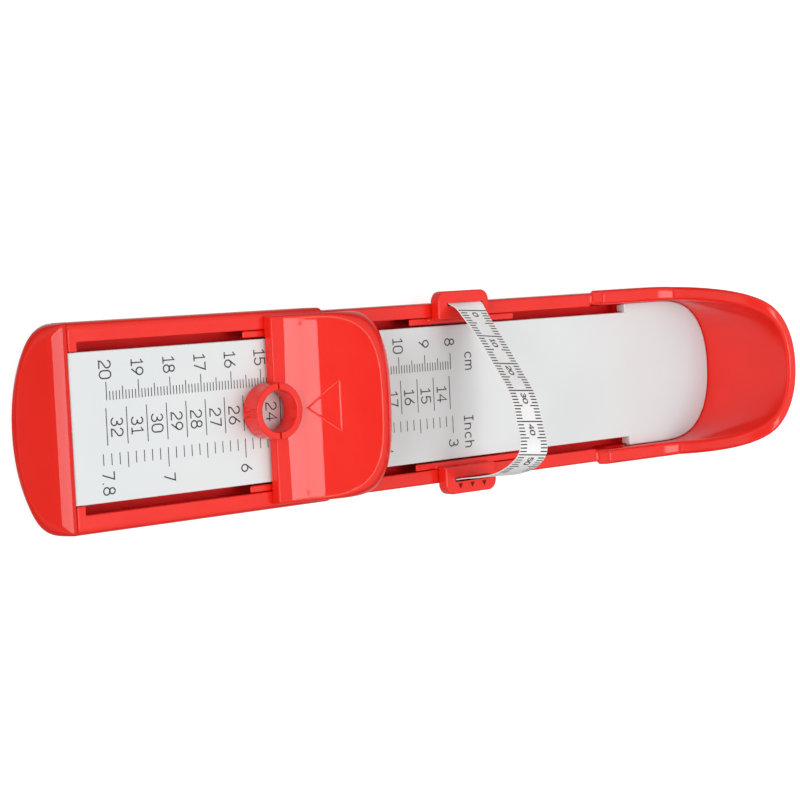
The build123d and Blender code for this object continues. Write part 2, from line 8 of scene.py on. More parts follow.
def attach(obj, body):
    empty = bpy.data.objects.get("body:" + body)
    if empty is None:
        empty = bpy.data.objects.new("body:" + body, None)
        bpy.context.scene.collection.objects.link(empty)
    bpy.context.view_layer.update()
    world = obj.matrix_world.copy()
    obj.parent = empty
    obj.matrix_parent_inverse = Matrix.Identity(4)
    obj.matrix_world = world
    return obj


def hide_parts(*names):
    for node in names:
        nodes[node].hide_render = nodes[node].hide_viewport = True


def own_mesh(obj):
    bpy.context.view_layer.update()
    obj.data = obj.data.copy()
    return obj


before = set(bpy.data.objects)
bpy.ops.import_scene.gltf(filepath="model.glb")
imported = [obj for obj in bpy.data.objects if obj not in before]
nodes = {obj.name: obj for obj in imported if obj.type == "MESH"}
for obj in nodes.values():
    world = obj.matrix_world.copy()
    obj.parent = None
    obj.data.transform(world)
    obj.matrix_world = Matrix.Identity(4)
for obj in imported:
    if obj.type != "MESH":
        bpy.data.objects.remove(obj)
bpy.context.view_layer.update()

# ---------------------------------------------------------------------------
# Shapes are written in millimetres in the device's design frame: X = 0 at the
# 20 cm line, +X to the heel, Y = 0 on the centre line, Z = 0 on the plate.
# ---------------------------------------------------------------------------
XC, ZB = 108.8, 9.6


def to_row(p):
    p = np.asarray(p, float)
    return (p + np.array([-XC, 0.0, ZB])) / 1000.0


# ---------------------------------------------------------------------------
# camera
# ---------------------------------------------------------------------------
RX, RY, RZ = (math.radians(v) for v in (3.72, 39.659, 2.716))
CAM_T = Vector((-76.6, -6.95, 550.96))
FOCAL_PX = 2098.4


def make_camera():
    mx = Matrix.Rotation(RX, 3, "X")
    my = Matrix.Rotation(RY, 3, "Y")
    mz = Matrix.Rotation(RZ, 3, "Z")
    r = mz @ mx @ my                      # design frame to camera frame
    t = Vector((CAM_T.x, CAM_T.y, -CAM_T.z))
    centre = -(r.transposed() @ t)
    data = bpy.data.cameras.new("camera")
    data.lens = FOCAL_PX * 36.0 / 800.0
    data.sensor_width = 36.0
    data.clip_start, data.clip_end = 0.01, 20.0
    cam = bpy.data.objects.new("camera", data)
    bpy.context.scene.collection.objects.link(cam)
    m = r.transposed().to_4x4()
    m.translation = Vector(((centre.x - XC) / 1000, centre.y / 1000, (centre.z + ZB) / 1000))
    cam.matrix_world = m
    bpy.context.scene.camera = cam
    return cam


cam = make_camera()

# ---------------------------------------------------------------------------
# materials
# ---------------------------------------------------------------------------


def srgb(r, g, b):
    def f(c):
        c /= 255.0
        return c / 12.92 if c <= 0.04045 else ((c + 0.055) / 1.055) ** 2.4
    return (f(r), f(g), f(b), 1.0)


def base_mat(name):
    m = bpy.data.materials.new(name)
    m.use_nodes = True
    nt = m.node_tree
    b = nt.nodes["Principled BSDF"]
    return m, nt, b


def node(nt, kind, **vals):
    n = nt.nodes.new(kind)
    for k, v in vals.items():
        if k in n.inputs:
            n.inputs[k].default_value = v
        else:
            setattr(n, k, v)
    return n


def plastic(name, col_a, col_b, rough=(0.28, 0.36), coat=0.0, grain=0.02, grain_scale=2600.0, mottle=55.0,
            spec=0.5, sss=0.0, flow=0.0):
    """Moulded plastic: slight colour flow, uneven gloss and a very fine skin grain."""
    m, nt, b = base_mat(name)
    tc = node(nt, "ShaderNodeTexCoord")
    big = node(nt, "ShaderNodeTexNoise", Scale=mottle, Detail=3.0, Roughness=0.5)
    nt.links.new(tc.outputs["Object"], big.inputs["Vector"])
    ramp = node(nt, "ShaderNodeValToRGB")
    ramp.color_ramp.elements[0].position = 0.35
    ramp.color_ramp.elements[1].position = 0.68
    ramp.color_ramp.elements[0].color = col_a
    ramp.color_ramp.elements[1].color = col_b
    nt.links.new(big.outputs["Fac"], ramp.inputs["Fac"])
    nt.links.new(ramp.outputs["Color"], b.inputs["Base Color"])
    rn = node(nt, "ShaderNodeTexNoise", Scale=220.0, Detail=2.0)
    nt.links.new(tc.outputs["Object"], rn.inputs["Vector"])
    mr = node(nt, "ShaderNodeMapRange")
    mr.inputs["From Min"].default_value = 0.3
    mr.inputs["From Max"].default_value = 0.7
    mr.inputs["To Min"].default_value = rough[0]
    mr.inputs["To Max"].default_value = rough[1]
    nt.links.new(rn.outputs["Fac"], mr.inputs["Value"])
    nt.links.new(mr.outputs["Result"], b.inputs["Roughness"])
    fine = node(nt, "ShaderNodeTexNoise", Scale=grain_scale, Detail=2.0)
    nt.links.new(tc.outputs["Object"], fine.inputs["Vector"])
    bump = node(nt, "ShaderNodeBump", Strength=grain, Distance=0.0001)
    nt.links.new(fine.outputs["Fac"], bump.inputs["Height"])
    nt.links.new(bump.outputs["Normal"], b.inputs["Normal"])
    b.inputs["Specular IOR Level"].default_value = spec
    b.inputs["Coat Weight"].default_value = coat
    b.inputs["Coat Roughness"].default_value = 0.12
    if sss:
        b.inputs["Subsurface Weight"].default_value = sss
        b.inputs["Subsurface Radius"].default_value = (0.004, 0.0012, 0.0008)
        b.inputs["Subsurface Scale"].default_value = 0.5
    return m


RED_A = (0.845, 0.017, 0.009, 1.0)
RED_B = (0.875, 0.020, 0.011, 1.0)
mat_frame = plastic("red_plastic_frame", RED_A, RED_B, rough=(0.15, 0.19))
mat_cap = plastic("red_plastic_cap", (0.705, 0.016, 0.009, 1.0), (0.735, 0.018, 0.010, 1.0), rough=(0.045, 0.06), grain=0.004,
                  mottle=80.0, spec=0.36)
mat_slider = plastic("red_plastic_slider", RED_A, RED_B, rough=(0.045, 0.06), grain=0.005, mottle=70.0)
# painted highlight: a lighter red for the fine beads, standing in for the thin highlight lines along the crest and the
# arrow edges
mat_painted_highlight_bead = plastic("red_plastic_slider_painted_highlight", (0.90, 0.085, 0.055, 1.0), (0.94, 0.11, 0.075, 1.0), rough=(0.20, 0.28), mottle=70.0)
mat_lug = plastic("red_plastic_carrier", RED_A, RED_B, rough=(0.17, 0.21), mottle=90.0)
mat_runner = plastic("red_plastic_runner", RED_A, RED_B, rough=(0.17, 0.21), mottle=90.0)
mat_groove = plastic("red_plastic_groove", (0.84, 0.014, 0.014, 1.0), (0.92, 0.016, 0.016, 1.0), rough=(0.40, 0.50), mottle=90.0,
                     spec=0.12)
mat_plate = plastic("white_plate_plastic_and_painted_heel_light", srgb(218, 221, 221), srgb(221, 224, 224), rough=(0.34, 0.42), grain=0.015,
                    mottle=30.0)
mat_ink = plastic("printed_ink", (0.035, 0.035, 0.038, 1), (0.05, 0.05, 0.053, 1), rough=(0.5, 0.6), mottle=600.0)
mat_tape = plastic("tape_film", srgb(247, 247, 246), srgb(250, 250, 250), rough=(0.40, 0.48), grain=0.03,
                   grain_scale=4200.0, mottle=160.0)
# dark red for the filled pointers, also used as painted shade inside the lug slots and on the tape end there
mat_pointer_fill_and_painted_shade = plastic("pointer_fill_and_painted_shade", (0.14, 0.010, 0.008, 1), (0.17, 0.013, 0.010, 1), rough=(0.6, 0.7), mottle=700.0, spec=0.12)
mat_tape_ink = plastic("tape_ink", (0.03, 0.03, 0.033, 1), (0.045, 0.045, 0.05, 1), rough=(0.5, 0.6), mottle=900.0)
mat_grey = plastic("grey_plastic", (0.16, 0.16, 0.165, 1), (0.20, 0.20, 0.205, 1), rough=(0.42, 0.52), grain=0.05)
mat_rubber = plastic("foot_rubber", (0.012, 0.012, 0.012, 1), (0.022, 0.022, 0.022, 1), rough=(0.6, 0.75), grain=0.15,
                     grain_scale=1800.0)


def heel_tint(mat, x0, x1, colour):
    """Plate colour that turns a little cooler and lighter towards the heel end: painted light that cancels the red
    light bounced from the heel cup.
    """
    nt = mat.node_tree
    b = nt.nodes["Principled BSDF"]
    src = b.inputs["Base Color"].links[0].from_socket
    tc = node(nt, "ShaderNodeTexCoord")
    sp = node(nt, "ShaderNodeSeparateXYZ")
    nt.links.new(tc.outputs["Object"], sp.inputs[0])
    mr = node(nt, "ShaderNodeMapRange", interpolation_type="SMOOTHSTEP")
    mr.inputs["From Min"].default_value = (x0 - XC) / 1000
    mr.inputs["From Max"].default_value = (x1 - XC) / 1000
    nt.links.new(sp.outputs["X"], mr.inputs["Value"])
    mx = node(nt, "ShaderNodeMix", data_type="RGBA")
    nt.links.new(mr.outputs["Result"], mx.inputs[0])
    nt.links.new(src, mx.inputs[6])
    mx.inputs[7].default_value = colour
    nt.links.new(mx.outputs[2], b.inputs["Base Color"])


# painted light: the plate is coloured cooler and lighter towards the heel to cancel the red bounce from the heel cup
heel_tint(mat_plate, 196.0, 232.0, (0.70, 0.955, 0.98, 1))


def steel(name):
    m, nt, b = base_mat(name)
    tc = node(nt, "ShaderNodeTexCoord")
    mp = node(nt, "ShaderNodeMapping")
    mp.inputs["Scale"].default_value = (40.0, 900.0, 900.0)
    nt.links.new(tc.outputs["Object"], mp.inputs["Vector"])
    n = node(nt, "ShaderNodeTexNoise", Scale=3.0, Detail=3.0)
    nt.links.new(mp.outputs["Vector"], n.inputs["Vector"])
    r = node(nt, "ShaderNodeValToRGB")
    r.color_ramp.elements[0].color = (0.42, 0.43, 0.45, 1)
    r.color_ramp.elements[1].color = (0.62, 0.62, 0.63, 1)
    nt.links.new(n.outputs["Fac"], r.inputs["Fac"])
    nt.links.new(r.outputs["Color"], b.inputs["Base Color"])
    b.inputs["Metallic"].default_value = 1.0
    mr = node(nt, "ShaderNodeMapRange")
    mr.inputs["To Min"].default_value = 0.25
    mr.inputs["To Max"].default_value = 0.42
    nt.links.new(n.outputs["Fac"], mr.inputs["Value"])
    nt.links.new(mr.outputs["Result"], b.inputs["Roughness"])
    return m


mat_steel = steel("screw_steel")


def dress(name, mat):
    o = nodes[name]
    o.data.materials.clear()
    o.data.materials.append(mat)


for n_, m_ in {
    "plate_screws": mat_steel, "cap_screws": mat_steel, "slider_screws": mat_steel, "carrier_screws": mat_steel,
    "foot_toe_left": mat_rubber, "foot_toe_right": mat_rubber, "foot_heel_left": mat_rubber,
    "foot_heel_right": mat_rubber, "slider_bridge": mat_grey, "carrier_bridge": mat_grey, "tape_anchor": mat_grey,
    "tape_end_stop": mat_grey, "tape_tail": mat_tape, "tape_turn": mat_tape,
    "base_frame": mat_frame, "toe_end_cap": mat_cap, "scale_plate": mat_plate, "slider_shell": mat_slider,
    "slider_runner_left": mat_runner, "slider_runner_right": mat_runner, "carrier_lug_left": mat_lug,
    "carrier_lug_right": mat_lug, "tape_loop": mat_tape,
}.items():
    dress(n_, m_)

# ---------------------------------------------------------------------------
# distance functions and their meshes
# ---------------------------------------------------------------------------


def rmax(a, b, r):
    """Intersection whose edge is rounded with radius r."""
    return np.minimum(-r, np.maximum(a, b)) + np.hypot(np.maximum(a + r, 0), np.maximum(b + r, 0))


def rmin(a, b, r):
    """Union whose inner corner is filled with radius r."""
    return np.maximum(r, np.minimum(a, b)) - np.hypot(np.maximum(r - a, 0), np.maximum(r - b, 0))


def rsub(a, b, r):
    return rmax(a, -b, r)


def slab(v, lo, hi):
    return np.maximum(lo - v, v - hi)


def rbox(x, y, z, x0, x1, y0, y1, z0, z1, r):
    cx, cy, cz = (x0 + x1) / 2, (y0 + y1) / 2, (z0 + z1) / 2
    qx = np.abs(x - cx) - (x1 - x0) / 2 + r
    qy = np.abs(y - cy) - (y1 - y0) / 2 + r
    qz = np.abs(z - cz) - (z1 - z0) / 2 + r
    out = np.sqrt(np.maximum(qx, 0) ** 2 + np.maximum(qy, 0) ** 2 + np.maximum(qz, 0) ** 2)
    return out + np.minimum(np.maximum(qx, np.maximum(qy, qz)), 0) - r


def dshape(x, y, xs, w, xb, p, q):
    """Distance to a D-shaped outline: straight sides up to xs, round end at xb."""
    u = np.maximum(0, (x - xs) / (xb - xs))
    v = np.maximum(np.abs(y) / w, 1e-5)
    s = np.maximum(u ** p + v ** q, 1e-7)
    rho = s ** (1 / q)
    k = s ** (1 / q - 1)
    gu = k * (p / q) * u ** (p - 1) / (xb - xs)
    gv = k * v ** (q - 1) / w
    return (rho - 1) / np.maximum(np.hypot(gu, gv), 1e-3)


def smooth(a, b, x):
    t = np.clip((x - a) / (b - a), 0, 1)
    return t * t * (3 - 2 * t)


def quad3(z, pts):
    """Parabola through three (z, value) points."""
    (z0, a), (z1, b), (z2, c) = pts
    return (a * (z - z1) * (z - z2) / ((z0 - z1) * (z0 - z2)) + b * (z - z0) * (z - z2) / ((z1 - z0) * (z1 - z2))
            + c * (z - z0) * (z - z1) / ((z2 - z0) * (z2 - z1)))


class Curve1:
    """Smooth curve through points, with its slope, monotone between them."""

    def __init__(self, pts, step=0.05):
        xs = np.array([p[0] for p in pts], float)
        ys = np.array([p[1] for p in pts], float)
        h = np.diff(xs)
        d = np.diff(ys) / h
        m = np.zeros(len(xs))
        m[1:-1] = np.where(d[:-1] * d[1:] > 0,
                           (h[:-1] + h[1:]) / ((h[1:] + 2 * h[:-1]) / 3 / np.where(d[:-1] == 0, 1e9, d[:-1])
                                               + (h[:-1] * 1.0 + 2 * h[1:]) / 3 / np.where(d[1:] == 0, 1e9, d[1:])), 0)
        m[0], m[-1] = d[0], d[-1]
        gx = np.arange(xs[0], xs[-1] + step, step)
        i = np.clip(np.searchsorted(xs, gx) - 1, 0, len(h) - 1)
        t = (gx - xs[i]) / h[i]
        gy = ((1 + 2 * t) * (1 - t) ** 2 * ys[i] + t * (1 - t) ** 2 * h[i] * m[i]
              + t * t * (3 - 2 * t) * ys[i + 1] + t * t * (t - 1) * h[i] * m[i + 1])
        k = np.ones(9) / 9
        self.x = gx
        self.y = gy
        self.s = np.convolve(np.pad(np.gradient(gy, gx), 4, mode="edge"), k, mode="valid")

    def __call__(self, x):
        return np.interp(x, self.x, self.y)

    def slope(self, x):
        return np.interp(x, self.x, self.s)

    def dist(self, x, z):
        """About the distance above the curve."""
        return (z - self(x)) / np.sqrt(1 + self.slope(x) ** 2)


def grid(*spans):
    """Grid lines from (start, end, step) spans."""
    out = []
    for a, b, h in spans:
        n = max(1, int(round((b - a) / h)))
        out.extend(list(np.linspace(a, b, n + 1)))
    return np.unique(np.round(out, 5))


def gradient(f, p, e):
    g = np.empty_like(p)
    for k in range(3):
        d = np.zeros(3)
        d[k] = e
        a = p + d
        b = p - d
        g[:, k] = (f(a[:, 0], a[:, 1], a[:, 2]) - f(b[:, 0], b[:, 1], b[:, 2])) / (2 * e)
    return g


def sdf_mesh(name, f, xs, ys, zs, mat, body, replaces=(), rounds=3):
    """Closed mesh of the surface f = 0, with its points moved exactly onto it."""
    gx, gy, gz = np.meshgrid(xs, ys, zs, indexing="ij")
    F = f(gx, gy, gz).astype(np.float64)
    F[np.abs(F) < 1e-7] = 1e-7
    S = F < 0
    n0, n1, n2 = F.shape
    cs = (n0 - 1, n1 - 1, n2 - 1)
    total = np.zeros((cs[0] * cs[1] * cs[2], 3))
    count = np.zeros(cs[0] * cs[1] * cs[2])
    axes = (xs, ys, zs)
    quads = []
    for ax in range(3):
        sl0 = [slice(None)] * 3
        sl1 = [slice(None)] * 3
        sl0[ax] = slice(0, -1)
        sl1[ax] = slice(1, None)
        a, b = F[tuple(sl0)], F[tuple(sl1)]
        m = S[tuple(sl0)] != S[tuple(sl1)]
        idx = np.argwhere(m)
        fa, fb = a[m], b[m]
        t = fa / (fa - fb)
        pos = np.stack([axes[k][idx[:, k]] for k in range(3)], 1).astype(float)
        pos[:, ax] += t * (axes[ax][idx[:, ax] + 1] - axes[ax][idx[:, ax]])
        u, v = (ax + 1) % 3, (ax + 2) % 3
        ring = []
        inner = np.ones(len(idx), bool)
        for du, dv in ((-1, -1), (0, -1), (0, 0), (-1, 0)):
            c = idx.copy()
            c[:, u] += du
            c[:, v] += dv
            ok = np.all((c >= 0) & (c < np.array(cs)), axis=1)
            flat = (c[:, 0] * cs[1] + c[:, 1]) * cs[2] + c[:, 2]
            np.add.at(total, flat[ok], pos[ok])
            np.add.at(count, flat[ok], 1)
            inner &= ok
            ring.append(flat)
        ring = np.stack(ring, 1)
        flip = fa > 0
        ring[flip] = ring[flip][:, ::-1]
        quads.append(ring[inner])
    used = np.flatnonzero(count)
    remap = np.full(len(count), -1)
    remap[used] = np.arange(len(used))
    P = total[used] / count[used][:, None]
    Q = remap[np.concatenate(quads)]
    for _ in range(rounds):
        val = f(P[:, 0], P[:, 1], P[:, 2])
        g = gradient(f, P, 0.01)
        n2_ = np.maximum((g ** 2).sum(1), 0.05)
        step = -(val / n2_)[:, None] * g
        ln = np.linalg.norm(step, axis=1)
        step *= np.minimum(1, 0.25 / np.maximum(ln, 1e-9))[:, None]
        P = P + step
    N = gradient(f, P, 0.03)
    N /= np.maximum(np.linalg.norm(N, axis=1), 1e-9)[:, None]
    return raw_mesh(name, P, Q, mat, body, replaces, normals=N)


def raw_mesh(name, P, faces, mat, body, replaces=(), normals=None, smooth_faces=True):
    me = bpy.data.meshes.new(name)
    V = to_row(P)
    if isinstance(faces, np.ndarray):
        k = faces.shape[1]
        me.vertices.add(len(V))
        me.vertices.foreach_set("co", V.astype(np.float32).ravel())
        me.loops.add(faces.size)
        me.loops.foreach_set("vertex_index", faces.astype(np.int32).ravel())
        me.polygons.add(len(faces))
        me.polygons.foreach_set("loop_start", np.arange(0, faces.size, k, dtype=np.int32))
        me.polygons.foreach_set("loop_total", np.full(len(faces), k, np.int32))
        me.update(calc_edges=True)
        me.validate()
    else:
        me.from_pydata([tuple(v) for v in V], [], faces)
        me.validate()
    me.polygons.foreach_set("use_smooth", np.full(len(me.polygons), smooth_faces))
    me.update()
    if normals is not None and len(me.vertices) == len(normals):
        me.normals_split_custom_set_from_vertices([tuple(v) for v in normals])
    me.materials.append(mat)
    o = bpy.data.objects.new(name, me)
    bpy.context.scene.collection.objects.link(o)
    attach(o, body)
    if replaces:
        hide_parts(*replaces)
    return o


# ---------------------------------------------------------------------------
# base frame with rails and heel cup
# ---------------------------------------------------------------------------
RIM = Curve1([(170, 3.5), (182, 3.5), (195, 3.6), (203, 3.75), (205.6, 4.0), (207.3, 4.32), (209.5, 4.95), (211.9, 5.72), (213.3, 7.6), (215, 10.6), (218.5, 16.8),
              (222, 22.6), (226, 27.6), (229.2, 30.25), (232.0, 31.4), (235.5, 31.85), (243, 32.0), (250, 32.2)])


def heel_outer(x, y, z):
    zc = np.clip(z, -9, 33)
    w = quad3(zc, [(-8.4, 27.2), (4.0, 27.65), (32.0, 26.52)])
    xb = quad3(zc, [(-8.4, 239.5), (4.0, 241.2), (32.0, 240.95)])
    xs = quad3(zc, [(-8.4, 199.2), (4.0, 198.3), (32.0, 200.4)])
    t = np.clip((zc - 4) / 28, 0, 1)
    return dshape(x, y, xs, w, xb, 3.0 - 0.26 * t, 3.07 - 0.90 * t)


def heel_inner(x, y, z):
    t = np.clip((z + 1.8) / 33.8, 0, 1.1)
    return dshape(x, y, 209.1 - 8.9 * t, 22.95 + 0.18 * t, 233.7 + 3.2 * t, 3.0 - 0.28 * t, 2.24 + 0.06 * t)


def frame_sdf(x, y, z):
    ay = np.abs(y)
    w = np.interp(x, [-11.0, 72.1, 72.9], [27.85, 27.7, 26.75])
    rt = np.interp(x, [72.0, 73.2], [2.0, 0.9])
    bot = -8.4 - z
    a = rmax(ay - w, z - 0.4, rt)
    a = rmax(a, bot, 1.0)
    a = rmax(a, -11.05 - x, 0.3)
    rails = np.maximum(a, x - 200.0)
    h = rmax(heel_outer(x, y, z), RIM.dist(x, z), 1.3)
    h = rmax(h, bot, 1.0)
    h = rmax(h, (180.0 - x + np.where(z > 0.4, (z - 0.4) * 0.72, (0.4 - z) * 1.1)) / 1.35, 0.5)
    body = rmin(rails, h, 0.7)
    cup = rmax(heel_inner(x, y, z), -1.8 - z, 0.3)
    cup = np.maximum(cup, 180.0 - x)
    body = rsub(body, cup, 1.2)
    body = rsub(body, rbox(x, y, z, -8.3, 194.4, -22.6, 22.6, -6.9, 30.0, 0.3), 0.32)
    body = rsub(body, rbox(x, ay, z, 190.0, 196.8, 20.1, 22.6, -6.9, 30.0, 0.3), 0.2)
    body = rsub(body, rbox(x, y, z, -8.3, 185.5, -25.2, 25.2, -6.9, -1.6, 0.4), 0.25)
    body = rsub(body, rbox(x, y, z, -14.0, -7.0, -20.15, 20.15, -1.8, 9.0, 0.1), 0.15)
    # underside: shallow panel and ribbed pockets
    body = rsub(body, rbox(x, y, z, 2.0, 176.0, -21.5, 21.5, -12.0, -7.9, 0.5), 0.3)
    pk = np.maximum(dshape(x, y, 206.0, 21.5, 229.5, 2.6, 2.8), slab(x, 204.0, 300.0))
    pk = np.maximum(pk, slab(z, -12.0, -4.2))
    ribs = np.minimum(np.abs(x - 212.0) - 0.6, np.minimum(np.abs(x - 222.0) - 0.6, ay - 0.6))
    boss = np.hypot(x - 220.0, y) - 3.2
    pk = rmax(pk, -np.minimum(ribs, boss), 0.4)
    body = rsub(body, pk, 0.4)
    p2 = np.maximum(np.maximum(slab(x, 195.8, 201.0), ay - 18.6), slab(z, -12.0, -4.2))
    keep = np.minimum(ay - 0.6, np.hypot(x - 198.0, ay - 14.0) - 3.2)
    body = rsub(body, rmax(p2, -keep, 0.4), 0.4)
    hole = np.minimum(np.hypot(x - 198.0, ay - 14.0), np.hypot(x - 220.0, y))
    body = rsub(body, np.maximum(hole - 2.1, slab(z, -12.0, -6.0)), 0.15)
    body = np.maximum(body, -np.maximum(hole - 1.05, slab(z, -12.0, 1.0)))
    caph = np.hypot(x + 9.0, ay - 16.0)
    body = rsub(body, np.maximum(caph - 1.75, slab(z, -12.0, -7.1)), 0.15)
    return body


frame_piece = sdf_mesh(
    "frame_moulding", frame_sdf,
    grid((-12.0, -6.0, 0.4), (-6.0, 70.5, 3.0), (70.5, 74.5, 0.4), (74.5, 176.5, 3.2), (176.5, 243.0, 0.5)),
    grid((-28.2, -19.6, 0.36), (-19.6, -2.0, 0.9), (-2.0, 2.0, 0.5), (2.0, 19.6, 0.9), (19.6, 28.2, 0.36)),
    grid((-9.2, 1.4, 0.36), (1.4, 33.2, 0.5)),
    mat_frame, "base", ["base_frame"])
me_ = frame_piece.data
me_.materials.append(mat_groove)
fc_ = np.empty(len(me_.polygons) * 3, np.float32)
me_.polygons.foreach_get("center", fc_)
fc_ = fc_.reshape(-1, 3) * 1000.0 + np.array([XC, 0.0, -ZB])
deep_ = ((fc_[:, 2] < -1.75) & (fc_[:, 2] > -7.2) & (np.abs(fc_[:, 1]) < 25.6) & (fc_[:, 0] > -8.6) & (fc_[:, 0] < 197.1))
me_.polygons.foreach_set("material_index", deep_.astype(np.int32))
me_.update()

# ---------------------------------------------------------------------------
# toe end cap
# ---------------------------------------------------------------------------
CAP_D = (11.2, 27.75, 24.15, 2.0, 2.0)


def cap_sdf(x, y, z):
    ay = np.abs(y)
    top = z - 0.4
    th = math.radians(14.2)
    facet = (z - 0.4 - (x + 12.75) * math.tan(th)) * math.cos(th)
    t2 = math.radians(35.0)
    slope = (z + 0.46 - (x + 16.2) * math.tan(t2)) * math.cos(t2)
    t3 = math.radians(43.0)
    lip = (z + 3.47 - (x + 20.5) * math.tan(t3)) * math.cos(t3)
    n = CAP_D[3] + 0.78 * smooth(0.3, -3.0, z) * (1 - smooth(-3.8, -8.4, z))
    plan = dshape(-x, y, *CAP_D[:3], n, n)
    a = rmax(top, facet, 0.12)
    a = rmax(a, slope, 0.3)
    a = rmax(a, lip, 0.9)
    a = rmax(a, plan, 0.9 + 0.9 * smooth(14.0, 24.0, ay) * smooth(-13.0, -17.0, x))
    a = rmax(a, -8.4 - z, 0.7)
    a = rmax(a, x + 11.15, 0.3)
    inner = dshape(-x, y, 13.0, 24.0, 21.8, 2.1, 2.5)
    inner = np.maximum(inner, x + 13.0)
    inner = np.maximum(inner, np.maximum(z + 2.6, slope + 2.2))
    ribs = np.minimum(ay - 0.6, np.abs(ay - 12.0) - 0.6)
    inner = rmax(inner, -ribs, 0.3)
    a = rsub(a, inner, 0.3)
    key = rbox(x, ay, z, -14.0, -6.6, 13.0, 19.0, -6.3, -3.0, 0.3)
    return rmin(a, key, 0.1)


cap_piece = sdf_mesh("toe_cap_moulding", cap_sdf, grid((-25.4, -10.4, 0.3), (-10.4, -6.0, 0.4)),
                     grid((-28.6, -20.0, 0.36), (-20.0, 20.0, 0.6), (20.0, 28.6, 0.36)), grid((-9.2, 1.3, 0.3)),
                     mat_cap, "base", ["toe_end_cap"])

# ---------------------------------------------------------------------------
# scale plate: flat, with ears at the heel that are turned down into the grooves
# ---------------------------------------------------------------------------


def plate_sdf(x, y, z):
    ay = np.abs(y)
    narrow = np.maximum(ay - 20.0, x - 199.0)
    wide = rmax(dshape(x, y, 209.1, 22.81, 233.5, 3.0, 2.24), 195.0 - x, 0.45)
    out = np.minimum(narrow, wide)
    out = np.maximum(out, -11.05 - x)
    a = rmax(out, z, 0.28)
    a = np.maximum(a, -1.8 - z)
    ears = rmax(rbox(x, ay, z, 195.0, 196.6, 20.2, 22.45, -3.4, 2.0, 0.3), z, 0.28)
    ribs = rbox(x, ay, z, 2.0, 186.0, 8.4, 9.6, -4.7, -1.7, 0.3)
    return np.minimum(np.minimum(a, ears), ribs)


plate_piece = sdf_mesh("scale_plate_panel", plate_sdf,
                       grid((-12.0, -10.0, 0.35), (-10.0, 193.8, 3.4), (193.8, 197.4, 0.2), (197.4, 234.6, 0.45)),
                       grid((-23.4, -19.0, 0.32), (-19.0, -10.2, 0.8), (-10.2, -7.8, 0.35), (-7.8, 7.8, 0.8),
                            (7.8, 10.2, 0.35), (10.2, 19.0, 0.8), (19.0, 23.4, 0.32)),
                       grid((-5.2, -4.0, 0.4), (-4.0, 0.6, 0.22)), mat_plate, "base", ["scale_plate"])

# ---------------------------------------------------------------------------
# toe slider
# ---------------------------------------------------------------------------
RAMP = Curve1([(40, 3.3), (50, 3.3), (56.0, 3.3), (56.6, 3.34), (57.6, 3.56), (60.0, 4.28), (62.0, 4.93), (64.0, 5.575), (65.9, 6.19), (66.7, 6.475),
               (68.5, 7.13), (70.0, 7.685), (72.0, 8.43), (76.0, 9.93), (80.0, 11.61), (83.5, 13.2), (88.0, 15.4), (95, 18.8)])
SL_IN = (62.86, 25.41, 82.84, 3.2, 3.3)         # crest line
SL_OUT = (73.8, 26.35, 91.2, 4.3, 2.95)          # foot of the rounded band


def d_curve(xs, w, xb, p, q, t):
    return xs + (xb - xs) * np.sin(t) ** (2 / p), w * np.cos(t) ** (2 / q)


def band_tables():
    """Crest point and band width for every direction seen from (SL_CX, 0)."""
    t = np.linspace(1e-6, math.pi / 2, 1500)
    out = []
    for d in (SL_IN, SL_OUT):
        x, y = d_curve(*d, t)
        xs = np.concatenate([np.linspace(40.0, d[0], 200)[:-1], x])
        ys = np.concatenate([np.full(199, d[1]), y])
        a = np.arctan2(ys, xs - SL_CX)
        r = np.hypot(ys, xs - SL_CX)
        o = np.argsort(a)
        out.append((a[o], r[o]))
    return out


SL_CX = 56.0
(BA, BR), (CA, CR) = band_tables()


def slider_shell_outer(x, y, z):
    """Skin made of a quarter round band between the crest line and the foot line."""
    ay = np.abs(y)
    a = np.arctan2(ay, x - SL_CX)
    r = np.hypot(ay, x - SL_CX)
    ri = np.interp(a, BA, BR)
    ro = np.interp(a, CA, CR)
    wr = ro - ri                                   # band width along the ray
    di = dshape(x, y, *SL_IN)
    do = dshape(x, y, *SL_OUT)
    wn = np.maximum(di - do, 0.3)                  # band width across it
    xi = np.where(x > SL_CX, SL_CX + np.cos(a) * ri, x)
    zr = RAMP(np.clip(xi, 40, 84))
    hb = 1.25 * np.maximum(wr * np.clip(wn / np.maximum(wr, 1e-3), 0.2, 1.0), 0.6)
    f = np.clip((r - ri) / np.maximum(wr, 0.2), -0.5, 1.0)
    f = np.where(x > SL_CX, f, np.clip(di / wn, -0.5, 1.0))
    cen = zr - hb
    bz = np.maximum(z - cen, 0) / hb
    rr = (np.maximum(f, 1e-6) ** 1.85 + np.maximum(bz, 1e-6) ** 1.85) ** (1 / 1.85)
    dome = (rr - 1) * np.minimum(wn, hb)
    dome = np.where(z > cen, dome, do)
    return np.maximum(dome, do)


